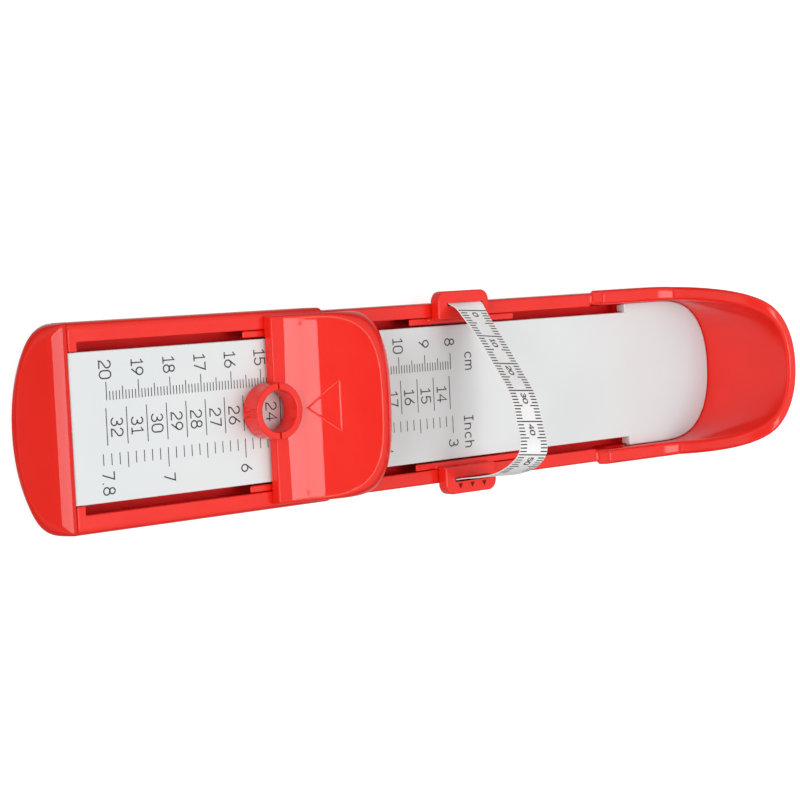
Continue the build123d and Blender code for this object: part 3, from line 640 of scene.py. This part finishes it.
def slider_sdf(x, y, z):
    ay = np.abs(y)
    dome = slider_shell_outer(x, y, z)
    ramp = RAMP.dist(x, z)
    a = rmax(dome, ramp, 0.15)
    left = (51.65 - x + (z - 0.5) * 0.10)
    a = rmax(a, left, 0.45)
    a = rmax(a, 0.5 - z, 0.2)
    # hollow from below
    inner = np.maximum(dshape(x, y, *SL_IN) + 1.2, ramp + 1.8)
    inner = np.maximum(inner, 53.4 - x)
    a = rsub(a, np.maximum(inner, z - 40), 0.2)
    ring = rmax(np.hypot(x - 50.9, y) - 7.9, z - 7.1, 0.35)
    ring = rmax(ring, 0.5 - z, 0.2)
    a = rmin(a, ring, 0.25)
    a = rsub(a, np.maximum(np.hypot(x - 50.9, y) - 5.86, slab(z, -3, 20)), 0.35)
    slit = np.maximum(np.maximum(np.abs(x - 50.9) - 0.28, slab(ay, 5.0, 9.0)), 3.45 - z)
    a = rsub(a, slit, 0.08)
    return a


slider_piece = sdf_mesh("toe_stop_moulding", slider_sdf, grid((42.2, 50.3, 0.36), (50.3, 51.5, 0.15), (51.5, 92.0, 0.34)),
                        grid((-27.6, -22.0, 0.3), (-22.0, -8.6, 0.4), (-8.6, 8.6, 0.34), (8.6, 22.0, 0.4), (22.0, 27.6, 0.3)), grid((-0.2, 14.6, 0.33)),
                        mat_slider, "toe_slider", ["slider_shell"])


# the rim of the reading ring is a little more matt than the polished skin
me_ = slider_piece.data
me_.materials.append(mat_lug)
fc_ = np.empty(len(me_.polygons) * 3, np.float32)
me_.polygons.foreach_get("center", fc_)
fc_ = fc_.reshape(-1, 3) * 1000.0 + np.array([XC, 0.0, -ZB])
top_ = (fc_[:, 2] > 6.6) & (np.hypot(fc_[:, 0] - 50.9, fc_[:, 1]) < 8.3)
me_.polygons.foreach_set("material_index", top_.astype(np.int32))
me_.update()


def prism_on(name, outline, zfun, h0, h1, mat, body, inset=0.22):
    """Raised outline that follows a surface, with a bevelled edge, closed below."""
    pts = []
    n = 26
    for (ax, ay), (bx, by) in zip(outline, outline[1:] + outline[:1]):
        for i in range(n):
            t = i / n
            pts.append((ax + (bx - ax) * t, ay + (by - ay) * t))
    pts = np.array(pts)
    cen = pts.mean(0)
    inner = cen + (pts - cen) * (1 - inset / 4.0)
    rings = [(pts, h0), (pts, h1 * 0.55), (cen + (pts - cen) * (1 - inset / 9.0), h1 * 0.9), (inner, h1)]
    for k in range(1, 8):
        rings.append((cen + (pts - cen) * (1 - inset / 4.0) * (1 - k / 8), h1))
    P, F = [], []
    for ring, h in rings:
        for x, y in ring:
            P.append((x, y, float(zfun(x)) + h))
    m = len(pts)
    for r in range(len(rings) - 1):
        for i in range(m):
            j = (i + 1) % m
            F.append((r * m + i, r * m + j, (r + 1) * m + j, (r + 1) * m + i))
    top = len(P)
    P.append((cen[0], cen[1], float(zfun(cen[0])) + h1))
    bot = len(P)
    P.append((cen[0], cen[1], float(zfun(cen[0])) + h0))
    last = (len(rings) - 1) * m
    for i in range(m):
        j = (i + 1) % m
        F.append((last + i, last + j, top))
        F.append((j, i, bot))
    return raw_mesh(name, P, F, mat, body, ())


arrow = prism_on("toe_stop_arrow", [(61.7, 0.0), (71.4, -7.3), (71.4, 7.3)], RAMP, -0.5, 0.13, mat_slider, "toe_slider")


def bead(name, line, r, lift, closed=False):
    """Fine moulded bead along a line on the ramp, in a lighter red that paints a highlight line; line holds plan
    points.
    """
    line = np.asarray(line, float)
    arc_ = np.concatenate([[0], np.cumsum(np.linalg.norm(np.diff(line, axis=0), axis=1))])
    even = np.linspace(0, arc_[-1], max(40, int(arc_[-1] / 0.4)))
    line = np.stack([np.interp(even, arc_, line[:, k]) for k in range(2)], 1)
    tang = np.gradient(line, axis=0)
    tang /= np.linalg.norm(tang, axis=1)[:, None]
    side = np.stack([tang[:, 1], -tang[:, 0]], 1)
    m, n = 10, len(line)
    P, F = [], []
    for i in range(n):
        q = r * min(1.0, 0.25 + i / 12, 0.25 + (n - 1 - i) / 12)
        z0 = float(RAMP(line[i, 0])) + lift
        for j in range(m):
            a = 2 * math.pi * j / m
            P.append((line[i, 0] + side[i, 0] * q * math.cos(a), line[i, 1] + side[i, 1] * q * math.cos(a), z0 + q * math.sin(a)))
    for i in range(n - 1):
        for j in range(m):
            k = (j + 1) % m
            F.append((i * m + j, i * m + k, (i + 1) * m + k, (i + 1) * m + j))
    F.append(tuple(range(m - 1, -1, -1)))
    F.append(tuple((n - 1) * m + j for j in range(m)))
    return raw_mesh(name, P, F, mat_painted_highlight_bead, "toe_slider", ())


# painted highlight: the crest bead and the arrow edge beads are drawn in the lighter red
t_ = np.linspace(1e-4, math.pi / 2 - 1e-4, 90)
x_, y_ = d_curve(SL_IN[0], SL_IN[1] - 0.12, SL_IN[2] - 0.12, SL_IN[3], SL_IN[4], t_)
x_ = np.concatenate([np.linspace(58.0, SL_IN[0] - 0.4, 10), x_])
y_ = np.concatenate([np.full(10, SL_IN[1] - 0.12), y_])
bead("toe_stop_bead", np.stack([np.concatenate([x_, x_[::-1][1:]]), np.concatenate([y_, -y_[::-1][1:]])], 1), 0.24, -0.10)
for k_, (a_, b_) in enumerate((((61.7, 0.0), (71.4, 7.3)), ((71.4, 7.3), (71.4, -7.3)), ((71.4, -7.3), (61.7, 0.0)))):
    bead("toe_stop_arrow_edge_%d" % (k_ + 1), [a_, b_], 0.15, 0.04)


def runner_sdf(sg, x0, x1, hook):
    def f(x, y, z):
        yy = y * sg
        a = rbox(x, yy, z, x0, x1, 20.55, 22.45, -3.9, -0.1, 0.3)
        a = rmax(a, (x0 + 0.1 + (-0.1 - z) * 0.85 - x) / 1.31, 0.25)
        hk = rbox(x, yy, z, hook[0], hook[1], 22.0, 24.6, -3.9, -1.75, 0.3)
        leg = rbox(x, yy, z, hook[0] + 2, hook[1] - 2, 20.55, 24.6, -5.3, -3.6, 0.2)
        return rmin(np.minimum(a, leg), hk, 0.2)
    return f


for sg, side in ((1, "left"), (-1, "right")):
    sdf_mesh("guide_bar_" + side, runner_sdf(sg, 44.4, 88.0, (55.0, 86.0)),
             grid((43.6, 48.0, 0.35), (48.0, 54.0, 1.0), (54.0, 58.0, 0.4), (58.0, 83.0, 2.0), (83.0, 88.6, 0.4)),
             np.sort(sg * grid((19.8, 25.4, 0.33))), grid((-6.0, 0.6, 0.33)), mat_runner, "toe_slider",
             ["slider_runner_" + side])

# ---------------------------------------------------------------------------
# tape carrier lugs
# ---------------------------------------------------------------------------
CX0, CX1 = 112.9, 133.1


def slot_line(sg, z):
    """Distance of the slot's middle from the centre line at height z."""
    if sg > 0:
        return 27.05 - 0.472 * np.maximum(z - 2.0, 0)
    return np.interp(z, [2.0, 2.45, 3.0, 3.8], [27.05, 26.40, 26.05, 25.95])


def lug_sdf(sg):

    def f(x, y, z):
        yy = y * sg
        cx = (CX0 + CX1) / 2
        hx = (CX1 - CX0) / 2
        side_x = np.abs(x - cx) - hx
        outer = yy - 30.2
        r = 3.0
        plan = np.minimum(-r, np.maximum(side_x, outer)) + np.hypot(np.maximum(side_x + r, 0), np.maximum(outer + r, 0))
        plan = np.where(yy > 26.5, plan, np.maximum(side_x, outer))
        a = rmax(z - 3.8, plan, 0.5)
        a = rmax(a, 22.0 - yy, 0.35)
        a = rmax(a, 0.5 - z, 0.05)
        arm = rbox(x, yy, z, 104.2, 146.6, 20.55, 22.45, -3.9, -0.1, 0.35)
        arm = rmax(arm, (104.6 + (-0.1 - z) * 0.85 - x) / 1.31, 0.25)
        web = np.maximum(np.maximum(slab(x, CX0, CX1), slab(yy, 22.0, 22.45)), slab(z, -1.0, 1.5))
        hk = rbox(x, yy, z, CX0 + 1, CX1 - 1, 22.0, 24.6, -3.9, -1.75, 0.3)
        leg = rbox(x, yy, z, CX0 + 2, CX1 - 2, 20.55, 24.6, -5.3, -3.6, 0.2)
        body = rmin(arm, np.minimum(web, a), 0.5 + 0.9 * smooth(0.0, 3.0, hx - np.abs(x - cx)))
        body = np.minimum(np.minimum(body, leg), hk)
        slot_ = np.maximum(np.abs(yy - slot_line(sg, z)) - (0.42 if sg > 0 else 0.54), slab(x, 116.7, 130.7))
        slot_ = np.maximum(slot_, -3.0 - z)
        body = rsub(body, slot_, 0.12)
        if sg < 0:
            for dx in (-4.74, 0.0, 4.74):
                cxx = 123.44 + dx
                e1 = (x - cxx - 0.85) * 0.866 + (yy - 27.2) * 0.5
                e2 = -(x - cxx + 0.85) * 0.866 + (yy - 27.2) * 0.5
                tri = np.maximum(np.maximum(e1, e2), 27.2 - yy)
                body = np.maximum(body, -np.maximum(tri, 3.4 - z))
        return body
    return f


for sg, side in ((1, "left"), (-1, "right")):
    piece_ = sdf_mesh("carrier_moulding_" + side, lug_sdf(sg),
             grid((103.4, 107.0, 0.36), (107.0, 112.4, 1.0), (112.4, 134.4, 0.34), (134.4, 143.4, 1.0), (143.4, 147.4, 0.36)),
             np.sort(sg * grid((19.9, 31.0, 0.3))), grid((-6.0, 4.6, 0.3)), mat_lug, "tape_carrier",
             ["carrier_lug_" + side])
    # painted shade: the inside of the slot gets no light, so its faces take the dark pointer-fill red
    me_ = piece_.data
    me_.materials.append(mat_pointer_fill_and_painted_shade)
    fc_ = np.empty(len(me_.polygons) * 3, np.float32)
    me_.polygons.foreach_get("center", fc_)
    fc_ = fc_.reshape(-1, 3) * 1000.0 + np.array([XC, 0.0, -ZB])
    slot_shade_mask_ = (np.abs(sg * fc_[:, 1] - slot_line(sg, fc_[:, 2])) < 0.8) & (np.abs(fc_[:, 0] - 123.7) < 7.2) & (fc_[:, 2] < 3.6) & (fc_[:, 2] > 0.7)
    me_.polygons.foreach_set("material_index", slot_shade_mask_.astype(np.int32))
    me_.update()

# dark filling of the three pointers
TP, TF = [], []
for dx in (-4.74, 0.0, 4.74):
    b0 = len(TP)
    cxx = 123.44 + dx
    for zz in (3.3, 3.66):
        for px, py in ((cxx - 0.84, -27.21), (cxx + 0.84, -27.21), (cxx + 0.28, -28.25), (cxx, -28.64), (cxx - 0.28, -28.25)):
            TP.append((px, py, zz + (0.03 if abs(px - cxx) < 0.1 else 0.0)))
    TF += [tuple(b0 + 5 + i for i in (0, 4, 3, 2, 1)), tuple(b0 + i for i in (0, 1, 2, 3, 4))]
    TF += [(b0 + i, b0 + (i + 1) % 5 + 0, b0 + (i + 1) % 5 + 5, b0 + i + 5)[::-1] for i in range(5)]
raw_mesh("carrier_pointer_fill", TP, TF, mat_pointer_fill_and_painted_shade, "tape_carrier", (), smooth_faces=False)

# ---------------------------------------------------------------------------
# stroke lettering: thin printed ink that lies on a surface
# ---------------------------------------------------------------------------


def arc(cx, cy, rx, ry, a0, a1, n=14):
    return [(cx + rx * math.cos(math.radians(a0 + (a1 - a0) * i / n)),
             cy + ry * math.sin(math.radians(a0 + (a1 - a0) * i / n))) for i in range(n + 1)]


# glyphs in a cell 1 high; (width, strokes)
GLYPHS = {
    "0": (0.62, [arc(0.31, 0.69, 0.29, 0.31, 0, 180, 12) + arc(0.31, 0.31, 0.29, 0.31, 180, 360, 12) + [(0.60, 0.69)]]),
    "1": (0.46, [[(0.05, 0.82), (0.27, 1.0), (0.27, 0.0)], [(0.03, 0.0), (0.49, 0.0)]]),
    "2": (0.60, [arc(0.30, 0.71, 0.28, 0.29, 165, -35, 13) + [(0.40, 0.45), (0.10, 0.22), (0.03, 0.0), (0.60, 0.0)]]),
    "3": (0.60, [arc(0.29, 0.75, 0.25, 0.25, 150, -90, 12) + arc(0.29, 0.26, 0.29, 0.26, 90, -160, 14)]),
    "4": (0.66, [[(0.48, 0.0), (0.48, 1.0), (0.02, 0.30), (0.66, 0.30)]]),
    "5": (0.60, [[(0.54, 1.0), (0.10, 1.0), (0.06, 0.55)] + arc(0.29, 0.32, 0.29, 0.30, 130, -150, 16)]),
    "6": (0.60, [[(0.47, 1.0), (0.10, 0.50)] + arc(0.30, 0.30, 0.28, 0.30, 150, 510, 22)]),
    "7": (0.58, [[(0.02, 1.0), (0.58, 1.0), (0.22, 0.0)]]),
    "8": (0.60, [arc(0.30, 0.76, 0.23, 0.24, -90, 270, 20), arc(0.30, 0.27, 0.28, 0.27, 90, 450, 22)]),
    "9": (0.60, [[(0.13, 0.0), (0.50, 0.50)] + arc(0.30, 0.70, 0.28, 0.30, -30, 330, 22)]),
    ".": (0.16, [[(0.06, 0.0), (0.10, 0.0)]]),
    "c": (0.54, [arc(0.30, 0.35, 0.27, 0.34, 50, 310, 16)]),
    "m": (0.86, [[(0.04, 0.0), (0.04, 0.68)], [(0.04, 0.48)] + arc(0.22, 0.48, 0.19, 0.20, 160, 0, 10) + [(0.41, 0.0)],
                 [(0.41, 0.48)] + arc(0.60, 0.48, 0.19, 0.20, 160, 0, 10) + [(0.79, 0.0)]]),
    "I": (0.40, [[(0.0, 1.0), (0.40, 1.0)], [(0.20, 1.0), (0.20, 0.0)], [(0.0, 0.0), (0.40, 0.0)]]),
    "n": (0.58, [[(0.05, 0.0), (0.05, 0.70)], [(0.05, 0.45)] + arc(0.28, 0.45, 0.23, 0.24, 160, 0, 10) + [(0.51, 0.0)]]),
    "h": (0.58, [[(0.05, 0.0), (0.05, 1.0)], [(0.05, 0.45)] + arc(0.28, 0.45, 0.23, 0.24, 160, 0, 10) + [(0.51, 0.0)]]),
}


class Ink:
    """Collects flat strokes and turns them into thin closed pieces on a surface."""

    def __init__(self, thick=0.03):
        self.P, self.F, self.thick = [], [], thick

    def ribbon(self, pts, width, place, closed=False):
        pts = np.asarray(pts, float)
        keep = [0]
        for i in range(1, len(pts)):
            if np.hypot(*(pts[i] - pts[keep[-1]])) > 1e-4:
                keep.append(i)
        pts = pts[keep]
        n = len(pts)
        if n < 2:
            return
        d = np.diff(pts, axis=0)
        d /= np.linalg.norm(d, axis=1)[:, None]
        nv = np.stack([-d[:, 1], d[:, 0]], 1)
        left, right = [], []
        for i in range(n):
            if i == 0:
                m, k = nv[0], 1.0
                e = -d[0] * width * 0.28
            elif i == n - 1:
                m, k = nv[-1], 1.0
                e = d[-1] * width * 0.28
            else:
                m = nv[i - 1] + nv[i]
                m = m / max(np.linalg.norm(m), 1e-6)
                k = 1.0 / max(m @ nv[i], 0.55)
                e = np.zeros(2)
            left.append(pts[i] + e + m * width / 2 * k)
            right.append(pts[i] + e - m * width / 2 * k)
        base = len(self.P)
        for h in (-0.04, self.thick):
            for p in left:
                self.P.append(place(p[0], p[1], h))
            for p in right:
                self.P.append(place(p[0], p[1], h))
        L = lambda i: base + 2 * n + i
        R = lambda i: base + 3 * n + i
        l = lambda i: base + i
        r = lambda i: base + n + i
        for i in range(n - 1):
            self.F.append((R(i), R(i + 1), L(i + 1), L(i)))
            self.F.append((l(i), l(i + 1), r(i + 1), r(i)))
            self.F.append((L(i), L(i + 1), l(i + 1), l(i)))
            self.F.append((r(i), r(i + 1), R(i + 1), R(i)))
        self.F.append((l(0), r(0), R(0), L(0)))
        self.F.append((L(n - 1), R(n - 1), r(n - 1), l(n - 1)))

    def text(self, s, height, width, place, gap=0.2, squeeze=1.0, centre=True):
        """place(gx, gy, h): gx along the reading direction, gy up."""
        total = sum(GLYPHS[c][0] * squeeze for c in s) + gap * (len(s) - 1)
        x = -total / 2 if centre else 0.0
        for c in s:
            w, strokes = GLYPHS[c]
            for st in strokes:
                pts = [((x + px * squeeze) * height, (py - 0.5) * height) for px, py in st]
                self.ribbon(pts, width, place)
            x += w * squeeze + gap

    def finish(self, name, mat, body):
        return raw_mesh(name, self.P, self.F, mat, body, (), smooth_faces=False)


def on_plate(x0, y0):
    """Reading direction is -Y, glyph tops point to +X."""
    return lambda gx, gy, h: (x0 + gy, y0 - gx, h)


flat = lambda a, b, h: (a, b, h)

cm = Ink()
for i in range(0, 121):
    x = float(i)
    cmv = 20 - i / 10
    if i % 10 == 0:
        y0, y1 = 11.65, 6.95
    elif i % 5 == 0:
        y0, y1 = 10.35, 6.95
    else:
        y0, y1 = 9.2, 6.95
    cm.ribbon([(x, y0), (x, y1)], 0.25, flat)
for v in range(8, 21):
    cm.text(str(v), 3.5, 0.37, on_plate((20 - v) * 10.0 - 0.1, 15.0), gap=0.16)
cm.text("cm", 3.5, 0.36, on_plate(127.6, 8.85), gap=0.16)
cm.finish("cm_scale_print", mat_ink, "base")

size = Ink()
for k in range(20):
    x = -0.454 + 6.2977 * k
    size.ribbon([(x, 4.75), (x, -4.95)], 0.25, flat)
for k in range(19):
    size.text(str(32 - k), 3.5, 0.37, on_plate(-0.454 + 6.2977 * (k + 0.5), -0.35), gap=0.2)
size.finish("size_scale_print", mat_ink, "base")

inch = Ink()
for i in range(0, 49):
    v = 7.8 - i / 10
    x = -1.98 + i * 2.54
    t = round(v * 10)
    if t % 10 == 0:
        y1 = -12.3
    elif t % 5 == 0:
        y1 = -11.2
    else:
        y1 = -10.2
    if i == 0:
        y1 = -10.2
    inch.ribbon([(x, -7.2), (x, y1)], 0.24, flat)
inch.text("7.8", 3.5, 0.37, on_plate(-0.75, -15.0), gap=0.2)
for v in (7, 6, 5, 4, 3):
    inch.text(str(v), 3.4, 0.37, on_plate(-1.98 + (7.8 - v) * 25.4, -15.2), gap=0.2)
inch.text("Inch", 3.45, 0.36, on_plate(126.3, -12.4), gap=0.22)
inch.finish("inch_scale_print", mat_ink, "base")

# ---------------------------------------------------------------------------
# measuring tape
# ---------------------------------------------------------------------------
# centre line stations: (Y, Z, X, drop in Z and in Y from the toe side edge to the heel side edge)
TAPE = [
    (27.05, 2.0, 123.7, 0.0, 0.0),
    (26.3, 3.7, 123.7, -0.15, -0.05),
    (25.4, 5.1, 123.8, -1.0, -0.5),
    (23.5, 6.8, 124.0, -2.0, -0.8),
    (20.2, 9.6, 124.2, -2.5, -0.95),
    (16.3, 12.8, 124.5, -2.9, -1.1),
    (12.3, 15.7, 124.9, -2.95, -1.1),
    (8.2, 18.6, 125.2, -3.0, -1.05),
    (4.3, 21.6, 125.3, -3.0, -1.05),
    (0.4, 24.4, 125.4, -3.0, -1.05),
    (-4.4, 26.1, 125.8, -2.8, -1.1),
    (-9.1, 27.0, 126.0, -2.65, -1.15),
    (-13.6, 28.6, 125.6, -2.3, -1.1),
    (-17.8, 29.1, 124.7, -1.9, -1.3),
    (-20.4, 27.0, 124.3, -1.8, -1.6),
    (-22.7, 23.2, 123.9, -0.9, -0.9),
    (-24.2, 18.3, 123.6, -0.6, -0.7),
    (-24.9, 14.0, 123.5, -0.4, -0.5),
    (-25.4, 8.0, 123.5, -0.2, -0.3),
    (-25.66, 5.2, 123.6, -0.1, -0.1),
    (-25.84, 3.8, 123.65, 0.0, 0.0),
    (-26.00, 3.0, 123.7, 0.0, 0.0),
    (-26.35, 2.45, 123.7, 0.0, 0.0),
    (-27.05, 2.0, 123.7, 0.0, 0.0),
]


def spline(pts, n):
    """Natural cubic spline through the points by chord length, n samples even in length."""
    P = np.asarray(pts, float)
    s = np.concatenate([[0], np.cumsum(np.linalg.norm(np.diff(P[:, :3], axis=0), axis=1))])
    h = np.diff(s)
    m = len(s)
    A = np.zeros((m, m))
    B = np.zeros((m, P.shape[1]))
    A[0, 0] = A[-1, -1] = 1
    for i in range(1, m - 1):
        A[i, i - 1], A[i, i], A[i, i + 1] = h[i - 1], 2 * (h[i - 1] + h[i]), h[i]
        B[i] = 6 * ((P[i + 1] - P[i]) / h[i] - (P[i] - P[i - 1]) / h[i - 1])
    M = np.linalg.solve(A, B)
    t = np.linspace(0, s[-1], n)
    i = np.clip(np.searchsorted(s, t) - 1, 0, m - 2)
    a = (s[i + 1] - t)[:, None]
    b = (t - s[i])[:, None]
    hh = h[i][:, None]
    return t, (M[i] * a ** 3 + M[i + 1] * b ** 3) / (6 * hh) + (P[i] / hh - M[i] * hh / 6) * a + (P[i + 1] / hh - M[i + 1] * hh / 6) * b


TW = 12.8
t_s, t_p = spline(TAPE, 420)
t_c = np.stack([t_p[:, 2], t_p[:, 0], t_p[:, 1]], 1)
t_e = np.stack([np.ones(len(t_p)), t_p[:, 4] / TW, t_p[:, 3] / TW], 1)
t_e /= np.linalg.norm(t_e, axis=1)[:, None]
t_t = np.gradient(t_c, axis=0)
t_t /= np.linalg.norm(t_t, axis=1)[:, None]
t_n = np.cross(t_t, t_e)          # outwards: up over the plate
t_n /= np.linalg.norm(t_n, axis=1)[:, None]
if t_n[len(t_n) // 2, 2] < 0:
    t_n = -t_n
seg = np.concatenate([[0], np.cumsum(np.linalg.norm(np.diff(t_c, axis=0), axis=1))])


def tape_point(s, w, h):
    """Point at length s along the tape, w from its middle towards the heel, h above its face."""
    c = np.array([np.interp(s, seg, t_c[:, k]) for k in range(3)])
    e = np.array([np.interp(s, seg, t_e[:, k]) for k in range(3)])
    n = np.array([np.interp(s, seg, t_n[:, k]) for k in range(3)])
    return tuple(c + e * w + n * (0.15 + h))


def tape_mesh():
    m = 9
    ws = np.linspace(-TW / 2, TW / 2, m)
    P, F = [], []
    for i in range(0, len(t_c), 2):
        for w in ws:
            P.append(t_c[i] + t_e[i] * w + t_n[i] * 0.15)
        for w in ws[::-1]:
            P.append(t_c[i] + t_e[i] * w - t_n[i] * 0.15)
    k = 2 * m
    n = len(P) // k
    for i in range(n - 1):
        for j in range(k):
            a, b = i * k + j, i * k + (j + 1) % k
            F.append((a, b, b + k, a + k))
    for j in range(m - 1):
        F.append((j + 1, j, k - 1 - j, k - 2 - j))
        b = (n - 1) * k
        F.append((b + j, b + j + 1, b + k - 2 - j, b + k - 1 - j))
    return P, F


P_, F_ = tape_mesh()
tape_piece = raw_mesh("measuring_tape", P_, F_, mat_tape, "tape_carrier", ["tape_loop"])
me_ = tape_piece.data
# painted shade: the end that turns away inside the right lug lies in the dark of the slot, so its faces are coloured
# dark
me_.materials.append(mat_pointer_fill_and_painted_shade)
fc_ = np.empty(len(me_.polygons) * 3, np.float32)
me_.polygons.foreach_get("center", fc_)
fc_ = fc_.reshape(-1, 3) * 1000.0 + np.array([XC, 0.0, -ZB])
me_.polygons.foreach_set("material_index", ((fc_[:, 2] < 2.85) & (fc_[:, 1] < 0)).astype(np.int32))
me_.update()
es = tape_piece.modifiers.new("edges", "EDGE_SPLIT")
es.split_angle = math.radians(40)

# where the zero line is printed: the station at Y = 24.0
S0 = float(np.interp(-24.0, -t_c[:210, 1], seg[:210]))
ti = Ink(0.02)


def tape_place(s0, w0):
    """Reading direction runs along the tape, glyph tops point to the heel side."""
    return lambda gx, gy, h: tape_point(s0 + gx, w0 + gy, max(h, -0.02))


def tape_place_inner(s0, w0):
    """The same on the face towards the plate."""
    return lambda gx, gy, h: tape_point(s0 - gx, w0 + gy, -0.30 - max(h, -0.02))


for i in range(0, 60):
    s = S0 + i * 1.0 - 0.8 * min(1.0, max(0.0, (i - 26) / 14.0))
    if s > seg[-1] - 1.0:
        break
    if i % 10 == 0:
        ti.ribbon([(0, w) for w in np.linspace(-6.3, 6.3, 5)], 0.36, tape_place(s, 0))
    else:
        ln = 4.0 if i % 5 == 0 else 2.7
        for sg in (-1, 1):
            ti.ribbon([(0, sg * 6.1), (0, sg * (6.1 - ln))], 0.36, tape_place(s, 0))
            ti.ribbon([(0, sg * 6.1), (0, sg * (6.1 - ln))], 0.36, tape_place_inner(s, 0))
for v in range(0, 60, 10):
    txt = str(v)
    s = S0 + v + (1.6 if v == 0 else 2.5) - (0.8 if v >= 40 else 0.3 if v == 30 else 0.0)
    if s < seg[-1] - 3:
        ti.text(txt, 2.2, 0.42, tape_place(s, 0.15), gap=0.18)
tape_ink = ti.finish("measuring_tape_print", mat_tape_ink, "tape_carrier")

for o in (tape_piece, tape_ink):
    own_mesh(o)

# ---------------------------------------------------------------------------
# floor, light
# ---------------------------------------------------------------------------


def floor_material():
    m, nt, b = base_mat("studio_floor")
    n = node(nt, "ShaderNodeTexNoise", Scale=3.0, Detail=2.0)
    tc = node(nt, "ShaderNodeTexCoord")
    nt.links.new(tc.outputs["Object"], n.inputs["Vector"])
    r = node(nt, "ShaderNodeValToRGB")
    r.color_ramp.elements[0].color = (0.50, 0.50, 0.50, 1)
    r.color_ramp.elements[1].color = (0.53, 0.53, 0.53, 1)
    nt.links.new(n.outputs["Fac"], r.inputs["Fac"])
    nt.links.new(r.outputs["Color"], b.inputs["Base Color"])
    b.inputs["Roughness"].default_value = 0.9
    b.inputs["Specular IOR Level"].default_value = 0.1
    b.inputs["Emission Color"].default_value = (1, 1, 1, 1)
    b.inputs["Emission Strength"].default_value = 0.75
    return m


bm = bpy.data.meshes.new("floor")
s_ = 3.0
bm.from_pydata([(-s_, -s_, 0), (s_, -s_, 0), (s_, s_, 0), (-s_, s_, 0)], [], [(0, 1, 2, 3)])
floor = bpy.data.objects.new("floor", bm)
bm.materials.append(floor_material())
bpy.context.scene.collection.objects.link(floor)
floor.visible_glossy = False
floor.visible_diffuse = False


def area(name, loc, target, sx, sy, power, colour=(1, 1, 1)):
    d = bpy.data.lights.new(name, "AREA")
    d.shape = "RECTANGLE"
    d.size, d.size_y = sx, sy
    d.energy = power
    d.color = colour
    o = bpy.data.objects.new(name, d)
    bpy.context.scene.collection.objects.link(o)
    o.location = Vector(loc)
    o.rotation_euler = (Vector(target) - Vector(loc)).to_track_quat("-Z", "Y").to_euler()
    return o


world = bpy.data.worlds.new("studio")
bpy.context.scene.world = world
world.use_nodes = True
wt = world.node_tree
bg = wt.nodes["Background"]
bg.inputs["Color"].default_value = (1, 1, 1, 1)
w_tc = node(wt, "ShaderNodeTexCoord")
w_dot = node(wt, "ShaderNodeVectorMath", operation="DOT_PRODUCT")
w_dir = Vector((-0.45, -0.07, 0.89)).normalized()
w_dot.inputs[1].default_value = w_dir
wt.links.new(w_tc.outputs["Generated"], w_dot.inputs[0])
w_map = node(wt, "ShaderNodeMapRange", interpolation_type="SMOOTHSTEP")
w_map.inputs["From Min"].default_value = math.cos(math.radians(33))
w_map.inputs["From Max"].default_value = math.cos(math.radians(20))
w_map.inputs["To Min"].default_value = 0.66
w_map.inputs["To Max"].default_value = 0.28
wt.links.new(w_dot.outputs["Value"], w_map.inputs["Value"])
w_sep = node(wt, "ShaderNodeSeparateXYZ")
wt.links.new(w_tc.outputs["Generated"], w_sep.inputs[0])
w_low = node(wt, "ShaderNodeValToRGB")
for pos_, val_ in ((0.0, 0.75), (0.25, 0.70), (0.42, 0.26), (0.50, 0.08), (0.56, 0.18), (0.66, 0.80), (0.78, 1.0)):
    el_ = w_low.color_ramp.elements[0] if pos_ == 0.0 else w_low.color_ramp.elements.new(pos_)
    el_.position = pos_
    el_.color = (val_, val_, val_, 1)
w_low.color_ramp.elements[-1].color = (1, 1, 1, 1)
w_half = node(wt, "ShaderNodeMath", operation="MULTIPLY_ADD")
w_half.inputs[1].default_value = 0.5
w_half.inputs[2].default_value = 0.5
wt.links.new(w_sep.outputs["Z"], w_half.inputs[0])
wt.links.new(w_half.outputs["Value"], w_low.inputs["Fac"])
w_mul = node(wt, "ShaderNodeMath", operation="MULTIPLY")
wt.links.new(w_map.outputs["Result"], w_mul.inputs[0])
wt.links.new(w_low.outputs["Color"], w_mul.inputs[1])
wt.links.new(w_mul.outputs["Value"], bg.inputs["Strength"])

area("overhead", (0.639, -0.34, 3.0), (0.639, -0.34, 0.0), 1.362, 0.92, 15.8)
back = area("heel_side", (0.80, -0.05, 0.95), (0.05, 0, 0), 0.9, 0.8, 2.5)
fill = area("toe_side", (-2.60, 0.0, 1.24), (0.0, 0, 0), 2.2, 1.2, 43.0)
top = area("top_fill", (0.1, -0.15, 2.6), (0.05, 0, 0), 0.9, 0.9, 5.5)
for light in (fill, top, back):
    light.visible_glossy = False

vs = bpy.context.scene.view_settings
vs.view_transform = "Standard"
vs.look = "None"
vs.exposure = 0.0
vs.gamma = 1.0
